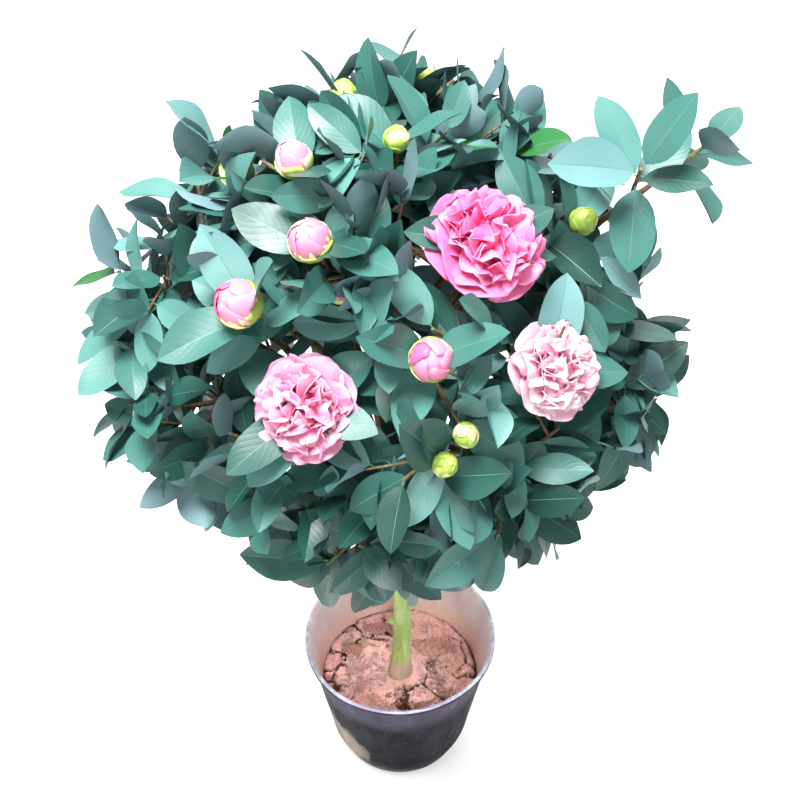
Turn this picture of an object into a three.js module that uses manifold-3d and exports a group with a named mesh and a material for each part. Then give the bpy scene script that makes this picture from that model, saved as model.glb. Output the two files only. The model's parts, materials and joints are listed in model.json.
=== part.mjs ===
// Potted camellia: a thin plastic nursery pot filled with clay soil, one straight trunk, and a round
// crown of tapering boughs, each of which ends in a mass of twigs, broad leaves, blooms and buds.
// Millimetres, +Z up, +X to the right of the plant's front, -Y towards the front.
// The origin is the middle of the pot's flat underside.
import * as THREE from "three";
import { mergeVertices } from "three/addons/utils/BufferGeometryUtils.js";
import Module from "manifold-3d";

const wasm = await Module();
wasm.setup();

const clearance = 0.3; // between neighbouring pieces
const shortestEdge = 0.005; // below this the two ends of an edge run together
const goldenTurn = Math.PI * (3 - Math.sqrt(5));

const pot = {
  rimRadius: 120,
  height: 210,
  wall: 2,
  lipDrop: 9,
  lipOut: 3.5,
  waistRadius: 93,
  waistHeight: 52,
  footRadius: 74,
  footRound: 14, // height of the rounded edge under the wall
  flatRadius: 66,
  wallCurve: 1.6,
  floor: 3,
  sides: 28,
};

const soil = { top: 126, flatRadius: 24, clod: 3.5, rings: 3, seed: 7 };

const trunk = {
  foot: soil.top + clearance,
  top: 600,
  footRadius: 12.6,
  forkRadius: 9.2,
  tipRadius: 5,
  fork: 0.5, // share of its height where the boughs begin
  flare: 3.2,
  flareShare: 0.035,
  lean: -9,
  sway: 5,
  crowding: 1.5, // the steps are shortest at the foot
  steps: 10,
  sides: 8,
};

const crown = { centre: 696, depth: 0.95, tips: 246, reach: 300 };

const bough = {
  rootRadius: 6.2,
  sideRootRadius: 4.6,
  tipRadius: 2.9,
  bend: 0.42,
  steps: 4,
  sides: 5,
  room: 13,
};

// Shares run from 0 at a stem's or twig's foot to 1 at its tip, and angles are in radians.
const mass = {
  stem: 92,
  stemRadius: 2.7,
  twigs: 5,
  twigRadius: 2.1,
  twigTipRadius: 1.5,
  firstTwig: 0.06,
  lastTwig: 0.72,
  firstLean: 1.08,
  lastLean: 0.78,
  leanScatter: 0.2,
  turnScatter: 0.7,
  nearest: 0.87, // twigs end between this share of the crown's radius and the whole of it
  shortestTwig: 48,
  room: 12,
};

const leaf = {
  eachTwig: 6,
  length: 84,
  lengthScatter: 0.17,
  youngest: 0.85, // the size of the one nearest the tip
  width: 0.54,
  widthScatter: 0.08,
  thickness: 0.03,
  widest: 0.44,
  droop: 0.16,
  fold: 0.07,
  first: 0.98,
  leafyStem: 0.4, // the share of a stem or twig that bears leaves
  leafyTwig: 0.5,
  open: 0.8,
  openMore: 0.5,
  openScatter: 0.3,
  underBloom: 0.35,
  turnEachTwig: 1.3,
  turnScatter: 0.5,
  weight: 0.12,
  light: 0.55, // how far the blades turn up to the light
  turns: [0, 0.4, -0.4, 0.8, -0.8, 1.2, -1.2, 1.7, -1.7], // tried in this order
  gap: 9,
  ownGap: 8,
};

const bloom = { thickness: 0.6, ruffle: 0.09, hold: 0.14, detail: 1 };
const bud = { thickness: 1.25, ruffle: 0, hold: 0.4, detail: 0 };
const headRoom = 0.58; // the room that others leave round a bloom or bud, as a share of its size

// Each limb and the mass at its end: the way it points from the crown's middle, in degrees round from
// the front and up from level, how far out it reaches, the limb that it leaves and how far along that,
// and what its twigs bear, the stem first: B a bloom, P a pink bud, G a green bud, and its size.
const limbs = [
  ["upper_right", 33, 56, 1, "trunk", 0.9, "B104 - G22 G20"],
  ["front_left", -22, 23, 1, "trunk", 0.7, "B92 - P13"],
  ["right_front", 39, 26, 1, "trunk", 0.74, "B86 - G18"],
  ["upper_left", -29, 54, 1, "trunk", 0.95, "P34 - G20"],
  ["top", -6, 83, 0.95, "trunk", 1, "G22"],
  ["left", -80, 20, 1.08, "trunk", 0.78, "G18"],
  ["right", 72, 2, 0.97, "trunk", 0.62, "- G18"],
  ["back", 172, 34, 1, "trunk", 0.66, "B84 - G20"],
  ["back_left_high", -126, 37, 0.93, "trunk", 0.86, "P32 - G20"],
  ["back_right_high", 128, 24, 0.92, "trunk", 0.82, "G22 P30"],
  ["bottom_front", -10, -20, 0.95, "trunk", 0.57, "-"],
  ["under_left", -89, -38, 0.93, "trunk", 0.53, "-"],
  ["under_right", 88, -44, 0.93, "trunk", 0.49, "-"],
  ["left_front", -41, 38, 1, "front_left", 0.45, "P38 G30"],
  ["top_left", -58, 66, 1, "upper_left", 0.5, "P30 G24"],
  ["front", 7, 35, 1, "upper_right", 0.4, "P34 P18 G21"],
  ["right_high", 75, 45, 0.92, "upper_right", 0.6, "G24"],
  ["front_low", 9, 13, 1, "right_front", 0.4, "G21 G22 G20"],
  ["top_right", 106, 58, 0.95, "top", 0.3, "-"],
  ["back_top", 172, 58, 1, "top", 0.2, "P30"],
  ["right_sprig", 94, 37, 1.4, "back_right_high", 0.4, "-", 2],
  ["left_low", -60, 4, 1.06, "left", 0.35, "G22"],
  ["right_low", 28, -7, 0.95, "right", 0.35, "-"],
  ["bottom_left", -38, -15, 0.95, "front_left", 0.25, "- G16"],
  ["back_left", -108, -2, 1, "left", 0.5, "B76 - G18"],
  ["back_right", 96, -12, 0.93, "right", 0.5, "P30"],
  ["back_left_low", -156, -15, 1, "back", 0.3, "G20"],
  ["back_right_low", 152, -14, 1, "back", 0.45, "- G18"],
].map(([name, turn, rise, out, from, at, bears, twigs = mass.twigs]) => {
  const loads = bears.split(" ").map((load) => ({ kind: load[0], size: Number(load.slice(1)) }));
  return { name, turn, rise, out, from, at, loads, twigs };
});

const paint = {
  pot: { color: 0x3a3742, roughness: 0.55 },
  soil: { color: 0xb07a66, roughness: 0.95 },
  trunk: { color: 0x86a95a, roughness: 0.6 },
  bough: { color: 0x6b4a35, roughness: 0.8 },
  foliage: { color: 0x3c7a68, roughness: 0.4 },
};

const up = new THREE.Vector3(0, 0, 1);

// The Park-Miller generator: the same numbers from the same seed, each from 0 to 1.
function chance(seed) {
  let state = seed;
  return () => {
    state = (state * 48271) % 2147483647;
    return state / 2147483647;
  };
}

function direction(turn, rise) {
  const a = THREE.MathUtils.degToRad(turn);
  const e = THREE.MathUtils.degToRad(rise);
  return new THREE.Vector3(
    Math.sin(a) * Math.cos(e),
    -Math.cos(a) * Math.cos(e),
    Math.sin(e),
  );
}

const along = (point, way, distance) => point.clone().addScaledVector(way, distance);

// A unit vector square to way, turned by angle about it.
function square(way, angle) {
  const first = new THREE.Vector3(-way.y, way.x, 0);
  if (first.length() < 0.01) first.set(1, 0, 0);
  first.normalize();
  const second = way.clone().cross(first).normalize();
  return first.multiplyScalar(Math.cos(angle)).addScaledVector(second, Math.sin(angle));
}

function solidOf(geometry) {
  const bare = geometry.clone();
  bare.deleteAttribute("normal");
  bare.deleteAttribute("uv");
  const merged = mergeVertices(bare, 1e-4);
  const vertProperties = new Float32Array(merged.attributes.position.array);
  const triVerts = new Uint32Array(merged.index.array);
  return new wasm.Manifold(new wasm.Mesh({ numProp: 3, vertProperties, triVerts }));
}

function geometryOf(solid) {
  const { vertProperties, triVerts } = solid.getMesh();
  const made = new THREE.BufferGeometry();
  made.setAttribute("position", new THREE.BufferAttribute(vertProperties, 3));
  made.setIndex(new THREE.BufferAttribute(triVerts, 1));
  made.computeVertexNormals();
  return made;
}

// Moves every vertex of a geometry: place gets its coordinates, and the vector to change.
function reshape(geometry, place) {
  const { position } = geometry.attributes;
  const v = new THREE.Vector3();
  for (let i = 0; i < position.count; i++) {
    const { x, y, z } = v.fromBufferAttribute(position, i);
    place({ x, y, z }, v);
    position.setXYZ(i, v.x, v.y, v.z);
  }
  return geometry;
}

// A tapering limb: a cylinder whose rings are laid square to a curve, with its radius a function of
// the share of the way. Grown by some amount, it is that much thicker and longer at its tip.
function limbGeometry(curve, radius, steps, sides, grown = 0) {
  const upright = new THREE.CylinderGeometry(1, 1, 1, sides, steps);
  const { tangents, normals, binormals } = curve.computeFrenetFrames(steps, false);
  return reshape(upright, ({ x, y, z }, v) => {
    const share = y + 0.5;
    const ring = Math.round(share * steps);
    const r = radius(share) + grown;
    v.copy(curve.getPointAt(share));
    v.addScaledVector(binormals[ring], x * r).addScaledVector(normals[ring], z * r);
    if (ring === steps) v.addScaledVector(tangents[ring], grown);
  });
}

function potInnerRadius(z) {
  const slope = (pot.rimRadius - pot.lipOut - pot.waistRadius) / (pot.height - pot.waistHeight);
  if (z >= pot.waistHeight) return pot.waistRadius + (z - pot.waistHeight) * slope - pot.wall;
  const share = (pot.waistHeight - z) / pot.waistHeight;
  return pot.waistRadius - (pot.waistRadius - pot.footRadius) * share ** pot.wallCurve - pot.wall;
}

const wallHeights = [pot.footRound, (pot.footRound + pot.waistHeight) / 2, pot.waistHeight];

function potGeometry() {
  const underLip = pot.height - pot.lipDrop;
  const outer = [...wallHeights, underLip].map((z) => new THREE.Vector2(potInnerRadius(z) + pot.wall, z));
  const inner = [...wallHeights, pot.height].map((z) => new THREE.Vector2(potInnerRadius(z), z));
  const profile = [
    new THREE.Vector2(0, 0),
    new THREE.Vector2(pot.flatRadius, 0),
    ...outer,
    new THREE.Vector2(pot.rimRadius, underLip),
    new THREE.Vector2(pot.rimRadius, pot.height),
    ...inner.reverse(),
    new THREE.Vector2(pot.flatRadius - pot.wall, pot.floor),
    new THREE.Vector2(0, pot.floor),
  ];
  return new THREE.LatheGeometry(profile, pot.sides).rotateX(Math.PI / 2);
}

// The soil fills the pot below its top, which is level round the trunk and cloddy outside that.
function soilGeometry() {
  const roll = chance(soil.seed);
  const side = [pot.floor + clearance, ...wallHeights, soil.top - soil.clod];
  const profile = side.map((z) => new THREE.Vector2(potInnerRadius(z) - 2 * clearance, z));
  profile[0].x = pot.flatRadius - pot.wall - clearance;
  const edge = profile[profile.length - 1].x;
  for (let i = 1; i <= soil.rings; i++) {
    const r = edge + ((soil.flatRadius - edge) * i) / soil.rings;
    profile.push(new THREE.Vector2(r, soil.top));
  }
  profile.push(new THREE.Vector2(0, soil.top));
  profile.unshift(new THREE.Vector2(0, side[0]));
  const made = new THREE.LatheGeometry(profile, pot.sides).rotateX(Math.PI / 2);
  const clods = new Map();
  return reshape(made, ({ x, y, z }, v) => {
    if (z < soil.top - 0.01 || Math.hypot(x, y) < soil.flatRadius + 1) return;
    const key = Math.round(x) + ":" + Math.round(y);
    if (!clods.has(key)) clods.set(key, (roll() - 0.6) * soil.clod);
    v.z += clods.get(key);
  });
}

function trunkPoint(share) {
  const z = trunk.foot + share * (trunk.top - trunk.foot);
  return new THREE.Vector3(
    trunk.lean * share + trunk.sway * Math.sin(2 * Math.PI * share),
    trunk.sway * Math.sin(1.5 * Math.PI * share),
    z,
  );
}

function trunkRadius(share) {
  const flare = trunk.flare * Math.exp(-share / trunk.flareShare);
  if (share < trunk.fork) {
    return trunk.footRadius + ((trunk.forkRadius - trunk.footRadius) * share) / trunk.fork + flare;
  }
  const rest = (share - trunk.fork) / (1 - trunk.fork);
  return trunk.forkRadius + (trunk.tipRadius - trunk.forkRadius) * rest;
}

class TrunkCurve extends THREE.Curve {
  getPoint(t) {
    return trunkPoint(t ** trunk.crowding);
  }
  getPointAt(u) {
    return this.getPoint(u);
  }
  getTangentAt(u) {
    return this.getTangent(u);
  }
}

// The foot is a flat cut on the soil, so its whole ring is brought level.
function trunkGeometry(grown = 0) {
  const radius = (t) => trunkRadius(t ** trunk.crowding);
  const made = limbGeometry(new TrunkCurve(), radius, trunk.steps, trunk.sides, grown);
  return reshape(made, ({ z }, v) => {
    if (z < trunk.foot + trunk.flare) v.z = trunk.foot;
  });
}

const crownCentre = new THREE.Vector3(0, 0, crown.centre);

// A point's distance from the crown's middle, as if the crown were a ball.
function crownRadius(point) {
  const { x, y, z } = point;
  return Math.hypot(x, y / crown.depth, z - crown.centre);
}

// How far to go from a point inside the crown to the given radius.
function wayOut(point, way, radius) {
  const from = new THREE.Vector3(point.x, point.y / crown.depth, point.z - crown.centre);
  const to = new THREE.Vector3(way.x, way.y / crown.depth, way.z);
  const a = to.lengthSq();
  const b = from.dot(to);
  const c = from.lengthSq() - radius * radius;
  return (Math.sqrt(b * b - a * c) - b) / a;
}

// A limb is a quadratic curve from its parent to the foot of its mass's stem, in line with the stem,
// which points halfway between straight on from the parent and straight out of the crown.
function layLimb(row, laid) {
  const out = direction(row.turn, row.rise);
  const radius = crown.tips * row.out;
  const tip = along(crownCentre, out, wayOut(crownCentre, out, radius));
  const parent = laid.get(row.from);
  const start = parent ? parent.curve.getPoint(row.at) : trunkPoint(row.at);
  const way = tip.clone().sub(start).normalize().add(out).normalize();
  const end = along(tip, way, -mass.stem);
  const bend = along(end, way, -bough.bend * end.distanceTo(start));
  const curve = new THREE.QuadraticBezierCurve3(start, bend, end);
  const root = parent ? bough.sideRootRadius : bough.rootRadius;
  const thickness = (share) => root + (bough.tipRadius - root) * share;
  return { ...row, way, radius, end, curve, thickness };
}

const laid = new Map();
for (const row of limbs) laid.set(row.name, layLimb(row, laid));

// Places along the trunk and every limb, for the room that foliage leaves round them.
function limbPlaces() {
  const found = [];
  for (let i = 0; i <= 60; i++) found.push(trunkPoint(i / 60));
  for (const { curve } of laid.values()) {
    for (let i = 0; i <= 24; i++) found.push(curve.getPoint(i / 24));
  }
  return found;
}

// The places on a blade that are tested against its neighbours, as shares of its length and width.
const bladePlaces = [[0.18, 0], [1, 0]];
for (const x of [0.34, 0.5, 0.66, 0.82]) {
  for (const y of [-0.4, 0, 0.4]) bladePlaces.push([x, y]);
}

const twigPlaces = [0.15, 0.25, 0.35, 0.45, 0.55, 0.65, 0.75, 0.85, 0.95, 1];

function bladePoint(blade, x, y) {
  const { root, way, side, face, length, width } = blade;
  const sag = -leaf.droop * x * x * length - leaf.fold * Math.abs(y) * width;
  return along(along(along(root, way, x * length), side, y * width), face, sag);
}

// The first twig is the stem itself; the others leave it in a spiral and end near the crown's surface,
// the lowest ones leaning out the most.
function twigsOf(limb, roll) {
  const foot = along(limb.end, limb.way, clearance);
  const [load] = limb.loads;
  const held = load.kind === "B" ? load.size * bloom.hold : 0;
  const found = [{ foot, way: limb.way, length: wayOut(foot, limb.way, limb.radius - held) }];
  for (let j = 1; j < limb.twigs; j++) {
    const share = (j - 1) / (mass.twigs - 2);
    const angle = j * goldenTurn + roll() * mass.turnScatter;
    const scatter = (roll() - 0.5) * mass.leanScatter;
    const lean = mass.firstLean + (mass.lastLean - mass.firstLean) * share + scatter;
    const start = mass.firstTwig + (mass.lastTwig - mass.firstTwig) * share;
    const radius = limb.radius * (mass.nearest + (1 - mass.nearest) * roll());
    const from = along(foot, limb.way, mass.stem * start);
    const way = limb.way.clone().multiplyScalar(Math.cos(lean));
    way.addScaledVector(square(limb.way, angle), Math.sin(lean)).normalize();
    const length = Math.max(mass.shortestTwig, wayOut(from, way, radius));
    found.push({ foot: from, way, length });
  }
  return found;
}

function near(points, others, gap) {
  const limit = gap * gap;
  return points.some((p) => others.some((q) => p.distanceToSquared(q) < limit));
}

// Every twig of every mass, and the bloom or bud at its tip.
function layTwigs() {
  const twigs = [];
  const heads = [];
  for (const [index, limb] of [...laid.values()].entries()) {
    const roll = chance(1000 + 37 * index);
    for (const [j, { foot, way, length }] of twigsOf(limb, roll).entries()) {
      const end = along(foot, way, length);
      const points = twigPlaces.map((share) => foot.clone().lerp(end, share));
      const draws = Array.from({ length: leaf.eachTwig }, () => [roll(), roll(), roll(), roll()]);
      const twig = { index, j, foot, way, end, points, draws };
      twigs.push(twig);
      const { kind, size } = limb.loads[j] ?? {};
      if (!size) continue;
      const form = kind === "B" ? bloom : bud;
      twig.head = { index, form, size, at: along(end, way, size * form.hold), twig };
      heads.push(twig.head);
    }
  }
  return { twigs, heads };
}

// How a leaf would sit on its twig, turned by some more about the twig.
function layBlade(twig, k, more) {
  const [a, b, c, d] = twig.draws[k];
  const low = k / (leaf.eachTwig - 1);
  const spread = twig.head?.form === bloom ? leaf.underBloom : 0;
  const open = leaf.open + leaf.openMore * low + (a - 0.5) * leaf.openScatter + spread;
  const own = k === 0 ? leaf.youngest : 1;
  const length = leaf.length * (1 + leaf.lengthScatter * (2 * b - 1)) * own;
  const width = length * leaf.width * (1 + leaf.widthScatter * (2 * c - 1));
  const leafy = twig.j === 0 ? leaf.leafyStem : leaf.leafyTwig;
  const root = twig.foot.clone().lerp(twig.end, leaf.first - low * leafy);
  const angle = twig.j * leaf.turnEachTwig + k * goldenTurn + (d - 0.5) * leaf.turnScatter + more;
  const way = twig.way.clone().multiplyScalar(Math.cos(open));
  way.addScaledVector(square(twig.way, angle), Math.sin(open));
  way.addScaledVector(up, -leaf.weight).normalize();
  const face = twig.way.clone().addScaledVector(up, leaf.light);
  face.addScaledVector(way, -face.dot(way)).normalize();
  const side = face.clone().cross(way);
  const blade = { index: twig.index, twig, root, way, side, face, length, width };
  blade.points = bladePlaces.map(([x, y]) => bladePoint(blade, x, y));
  return blade;
}

// Twigs and leaves are added in turn, and one that would come too near to what is there is turned
// about its twig or skipped.
function grow() {
  const limbSpots = limbPlaces();
  const { twigs, heads } = layTwigs();
  const grown = twigs.filter(({ j }) => j === 0);
  const blades = [];

  function clearOfHeads(points, twig) {
    return heads.every((h) => h.twig === twig || !near(points, [h.at], h.size * headRoom + leaf.ownGap));
  }

  function twigIsClear(twig) {
    if (!clearOfHeads(twig.points, twig) || near(twig.points, limbSpots, bough.room)) return false;
    return grown.every((t) => t.index === twig.index || !near(twig.points, t.points, mass.room));
  }

  function bladeIsClear({ points, index, twig, root, length }) {
    const reach = crown.reach * limbs[index].out;
    if (points.some((p) => crownRadius(p) > reach)) return false;
    if (near(points, limbSpots, bough.room) || !clearOfHeads(points, twig)) return false;
    for (const other of blades) {
      if (other.root.distanceTo(root) > other.length + length + leaf.gap) continue;
      if (near(points, other.points, other.index === index ? leaf.ownGap : leaf.gap)) return false;
    }
    const room = (t) => (t.index === index ? leaf.ownGap : mass.room);
    return grown.every((t) => t === twig || !near(points, t.points, room(t)));
  }

  for (const twig of twigs) {
    if (twig.j > 0 && twigIsClear(twig)) grown.push(twig);
  }
  for (let k = 0; k < leaf.eachTwig; k++) {
    for (const twig of grown) {
      const blade = leaf.turns.map((more) => layBlade(twig, k, more)).find(bladeIsClear);
      if (blade) blades.push(blade);
    }
  }
  return { twigs: grown, blades };
}

function twigSolid({ foot, end, j }) {
  const root = j === 0 ? mass.stemRadius : mass.twigRadius;
  const radius = (share) => root + (mass.twigTipRadius - root) * share;
  return solidOf(limbGeometry(new THREE.LineCurve3(foot, end), radius, 1, j === 0 ? 5 : 3));
}

// A leaf is an octahedron: its root and tip, its widest place on each side, and the blade's thickness
// there.
function leafSolid(blade) {
  const half = leaf.thickness * blade.length * 0.5;
  const made = reshape(new THREE.OctahedronGeometry(1), ({ x, y, z }, v) => {
    const share = Math.abs(x) > 0.5 ? (1 + x) / 2 : leaf.widest;
    v.copy(bladePoint(blade, share, -z / 2)).addScaledVector(blade.face, y * half);
  });
  return solidOf(made);
}

function headSolid({ form, size, at, twig }) {
  const roll = chance(500 + 10 * twig.index + twig.j);
  const shifts = new Map();
  const turn = new THREE.Quaternion().setFromUnitVectors(up, twig.way);
  const round = new THREE.IcosahedronGeometry(size / 2, form.detail);
  const made = reshape(round, ({ x, y, z }, v) => {
    const key = [x, y, z].map((n) => Math.round(n * 10)).join();
    if (!shifts.has(key)) shifts.set(key, 1 + (2 * roll() - 1) * form.ruffle);
    v.multiplyScalar(shifts.get(key));
    v.z *= form.thickness;
    v.applyQuaternion(turn).add(at);
  });
  return solidOf(made);
}

// Whether two solids meet in a seam that has no edge too short to keep its two ends apart.
function joinsCleanly(one, other) {
  const { vertProperties: at, triVerts: corner } = one.add(other).getMesh();
  return corner.every((from, i) => {
    const a = 3 * from;
    const b = 3 * corner[i % 3 === 2 ? i - 2 : i + 1];
    return Math.hypot(at[a] - at[b], at[a + 1] - at[b + 1], at[a + 2] - at[b + 2]) > shortestEdge;
  });
}

function largestPiece(solid) {
  return solid.decompose().reduce((a, b) => (a.volume() > b.volume() ? a : b));
}

const plant = new THREE.Group();
plant.name = "potted_camellia";

function add(name, geometry, finish) {
  const made = new THREE.Mesh(geometry, new THREE.MeshStandardMaterial({ metalness: 0, ...finish }));
  made.name = name;
  plant.add(made);
}

add("pot", potGeometry(), paint.pot);
add("soil", soilGeometry(), paint.soil);
add("trunk", trunkGeometry(), paint.trunk);

// A bough starts inside its parent and is cut clear of it, and of the boughs that stand before it.
function boughSolid({ curve, thickness }, grown = 0) {
  return solidOf(limbGeometry(curve, thickness, bough.steps, bough.sides, grown));
}

let kept = solidOf(trunkGeometry(clearance));
for (const limb of laid.values()) {
  const cut = largestPiece(boughSolid(limb).subtract(kept));
  kept = kept.add(boughSolid(limb, clearance));
  add("bough_" + limb.name, geometryOf(cut), paint.bough);
}

// A leaf that doesn't join its twig cleanly, or still touches anything else, is left out.
const { twigs, blades } = grow();
const masses = [];
for (const [index, { name }] of limbs.entries()) {
  const woody = twigs.filter((twig) => twig.index === index).map((twig) => {
    const solid = twig.head ? twigSolid(twig).add(headSolid(twig.head)) : twigSolid(twig);
    return { twig, solid };
  });
  const leaves = [];
  for (const blade of blades.filter((each) => each.index === index)) {
    const solid = leafSolid(blade);
    const carrier = woody.find(({ twig }) => twig === blade.twig).solid;
    const others = woody.filter(({ twig }) => twig !== blade.twig).map((piece) => piece.solid);
    const clear = [...masses, ...others, ...leaves].every((other) => other.intersect(solid).isEmpty());
    if (clear && joinsCleanly(carrier, solid)) leaves.push(solid);
  }
  masses.push(largestPiece(wasm.Manifold.union([...woody.map((piece) => piece.solid), ...leaves])));
  add("foliage_" + name, geometryOf(masses[index]), paint.foliage);
}

export default plant;
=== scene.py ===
import json
import math

import bmesh
import bpy
import numpy as np
from mathutils import Matrix, Vector, noise

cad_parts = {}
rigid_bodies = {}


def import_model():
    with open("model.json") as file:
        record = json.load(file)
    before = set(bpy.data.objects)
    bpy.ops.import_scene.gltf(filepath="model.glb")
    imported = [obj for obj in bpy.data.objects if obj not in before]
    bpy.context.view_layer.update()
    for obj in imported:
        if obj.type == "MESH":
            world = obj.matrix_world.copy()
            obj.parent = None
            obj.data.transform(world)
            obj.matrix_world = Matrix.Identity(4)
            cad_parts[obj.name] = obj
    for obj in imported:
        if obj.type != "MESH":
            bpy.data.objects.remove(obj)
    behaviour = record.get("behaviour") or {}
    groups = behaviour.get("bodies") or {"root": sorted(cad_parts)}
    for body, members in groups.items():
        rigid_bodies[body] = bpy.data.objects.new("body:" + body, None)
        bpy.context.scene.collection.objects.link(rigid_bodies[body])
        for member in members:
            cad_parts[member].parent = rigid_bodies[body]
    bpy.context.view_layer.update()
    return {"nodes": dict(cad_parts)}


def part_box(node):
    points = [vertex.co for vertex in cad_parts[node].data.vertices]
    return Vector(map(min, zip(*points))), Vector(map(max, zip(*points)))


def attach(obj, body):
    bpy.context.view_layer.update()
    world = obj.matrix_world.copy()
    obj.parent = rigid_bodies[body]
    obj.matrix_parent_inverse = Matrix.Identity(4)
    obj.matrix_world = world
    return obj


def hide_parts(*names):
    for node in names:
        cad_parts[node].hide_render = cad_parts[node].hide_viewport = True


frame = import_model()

goldenTurn = math.pi * (3 - math.sqrt(5))
up = np.array((0.0, 0.0, 1.0))
scene = bpy.context.scene

# how the plant grows: shares run from 0 at a limb's foot to 1 at its tip
trunk = {
    "foot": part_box("trunk")[0].z,
    "top": 0.6,
    "footRadius": 0.0126,
    "forkRadius": 0.0092,
    "tipRadius": 0.005,
    "fork": 0.5,
    "flare": 0.0032,
    "flareShare": 0.035,
    "lean": -0.009,
    "sway": 0.005,
}
crown = {"centre": np.array((0.0, 0.0, 0.696)), "depth": 0.95, "tips": 0.246, "reach": 0.3}
bough = {"root": 0.0062, "sideRoot": 0.0046, "tip": 0.0029, "bend": 0.42, "room": 0.013}
mass = {
    "clearance": 0.0003,
    "stem": 0.092,
    "stemRadius": 0.0027,
    "twigs": 5,
    "twigRadius": 0.0021,
    "tipRadius": 0.0015,
    "firstTwig": 0.06,
    "lastTwig": 0.72,
    "firstLean": 1.08,
    "lastLean": 0.78,
    "leanScatter": 0.2,
    "turnScatter": 0.7,
    "nearest": 0.87,
    "shortestTwig": 0.048,
    "room": 0.012,
    "seed": 1000,
    "seedStep": 37,
}
leaf = {
    "eachTwig": 6,
    "length": 0.084,
    "lengthScatter": 0.17,
    "youngest": 0.85,
    "width": 0.54,
    "widthScatter": 0.08,
    "droop": 0.16,
    "fold": 0.07,
    "first": 0.98,
    "leafyStem": 0.4,
    "leafyTwig": 0.5,
    "open": 0.8,
    "openMore": 0.5,
    "openScatter": 0.3,
    "underBloom": 0.35,
    "turnEachTwig": 1.3,
    "turnScatter": 0.5,
    "weight": 0.12,
    "light": 0.55,
    "turns": (0, 0.4, -0.4, 0.8, -0.8, 1.2, -1.2, 1.7, -1.7),
    "gap": 0.009,
    "ownGap": 0.008,
}
headHold = {"B": 0.14, "P": 0.4, "G": 0.4}  # how far out of its twig a bloom or bud stands
headRoom = 0.58

# name, turn from the front and rise in degrees, how far out, where from and how far along,
# what its twigs bear (B bloom, P pink bud, G green bud, each with its size in mm), how many twigs if fewer
limbRows = [
    ("upper_right", 33, 56, 1, "trunk", 0.9, "B104 - G22 G20"),
    ("front_left", -22, 23, 1, "trunk", 0.7, "B92 - P13"),
    ("right_front", 39, 26, 1, "trunk", 0.74, "B86 - G18"),
    ("upper_left", -29, 54, 1, "trunk", 0.95, "P34 - G20"),
    ("top", -6, 83, 0.95, "trunk", 1, "G22"),
    ("left", -80, 20, 1.08, "trunk", 0.78, "G18"),
    ("right", 72, 2, 0.97, "trunk", 0.62, "- G18"),
    ("back", 172, 34, 1, "trunk", 0.66, "B84 - G20"),
    ("back_left_high", -126, 37, 0.93, "trunk", 0.86, "P32 - G20"),
    ("back_right_high", 128, 24, 0.92, "trunk", 0.82, "G22 P30"),
    ("bottom_front", -10, -20, 0.95, "trunk", 0.57, "-"),
    ("under_left", -89, -38, 0.93, "trunk", 0.53, "-"),
    ("under_right", 88, -44, 0.93, "trunk", 0.49, "-"),
    ("left_front", -41, 38, 1, "front_left", 0.45, "P38 G30"),
    ("top_left", -58, 66, 1, "upper_left", 0.5, "P30 G24"),
    ("front", 7, 35, 1, "upper_right", 0.4, "P34 P18 G21"),
    ("right_high", 75, 45, 0.92, "upper_right", 0.6, "G24"),
    ("front_low", 9, 13, 1, "right_front", 0.4, "G21 G22 G20"),
    ("top_right", 106, 58, 0.95, "top", 0.3, "-"),
    ("back_top", 172, 58, 1, "top", 0.2, "P30"),
    ("right_sprig", 94, 37, 1.4, "back_right_high", 0.4, "-", 2),
    ("left_low", -60, 4, 1.06, "left", 0.35, "G22"),
    ("right_low", 28, -7, 0.95, "right", 0.35, "-"),
    ("bottom_left", -38, -15, 0.95, "front_left", 0.25, "- G16"),
    ("back_left", -108, -2, 1, "left", 0.5, "B76 - G18"),
    ("back_right", 96, -12, 0.93, "right", 0.5, "P30"),
    ("back_left_low", -156, -15, 1, "back", 0.3, "G20"),
    ("back_right_low", 152, -14, 1, "back", 0.45, "- G18"),
]


def chance(seed):
    state = [seed]

    def roll():
        state[0] = state[0] * 48271 % 2147483647
        return state[0] / 2147483647

    return roll


def unit(v):
    return v / np.linalg.norm(v)


def direction(turn, rise):
    a, e = math.radians(turn), math.radians(rise)
    return np.array((math.sin(a) * math.cos(e), -math.cos(a) * math.cos(e), math.sin(e)))


# a unit vector square to way, turned by angle about it
def square(way, angle):
    first = np.array((-way[1], way[0], 0.0))
    if np.linalg.norm(first) < 0.01:
        first = np.array((1.0, 0.0, 0.0))
    first = unit(first)
    second = unit(np.cross(way, first))
    return first * math.cos(angle) + second * math.sin(angle)


def trunkPoint(share):
    return np.array((
        trunk["lean"] * share + trunk["sway"] * math.sin(2 * math.pi * share),
        trunk["sway"] * math.sin(1.5 * math.pi * share),
        trunk["foot"] + share * (trunk["top"] - trunk["foot"]),
    ))


def trunkRadius(share):
    flare = trunk["flare"] * math.exp(-share / trunk["flareShare"])
    if share < trunk["fork"]:
        return np.interp(share, (0, trunk["fork"]), (trunk["footRadius"], trunk["forkRadius"])) + flare
    return np.interp(share, (trunk["fork"], 1), (trunk["forkRadius"], trunk["tipRadius"]))


crownScale = np.array((1.0, 1 / crown["depth"], 1.0))


def crownRadius(points):
    return np.linalg.norm((points - crown["centre"]) * crownScale, axis=-1)


# how far to go from a point inside the crown to the given radius
def wayOut(point, way, radius):
    start, step = (point - crown["centre"]) * crownScale, way * crownScale
    a, b, c = step @ step, start @ step, start @ start - radius * radius
    return (math.sqrt(b * b - a * c) - b) / a


def curvePoint(limb, t):
    start, bend, end = limb["curve"]
    return start * (1 - t) ** 2 + bend * (2 * t * (1 - t)) + end * t * t


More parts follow.
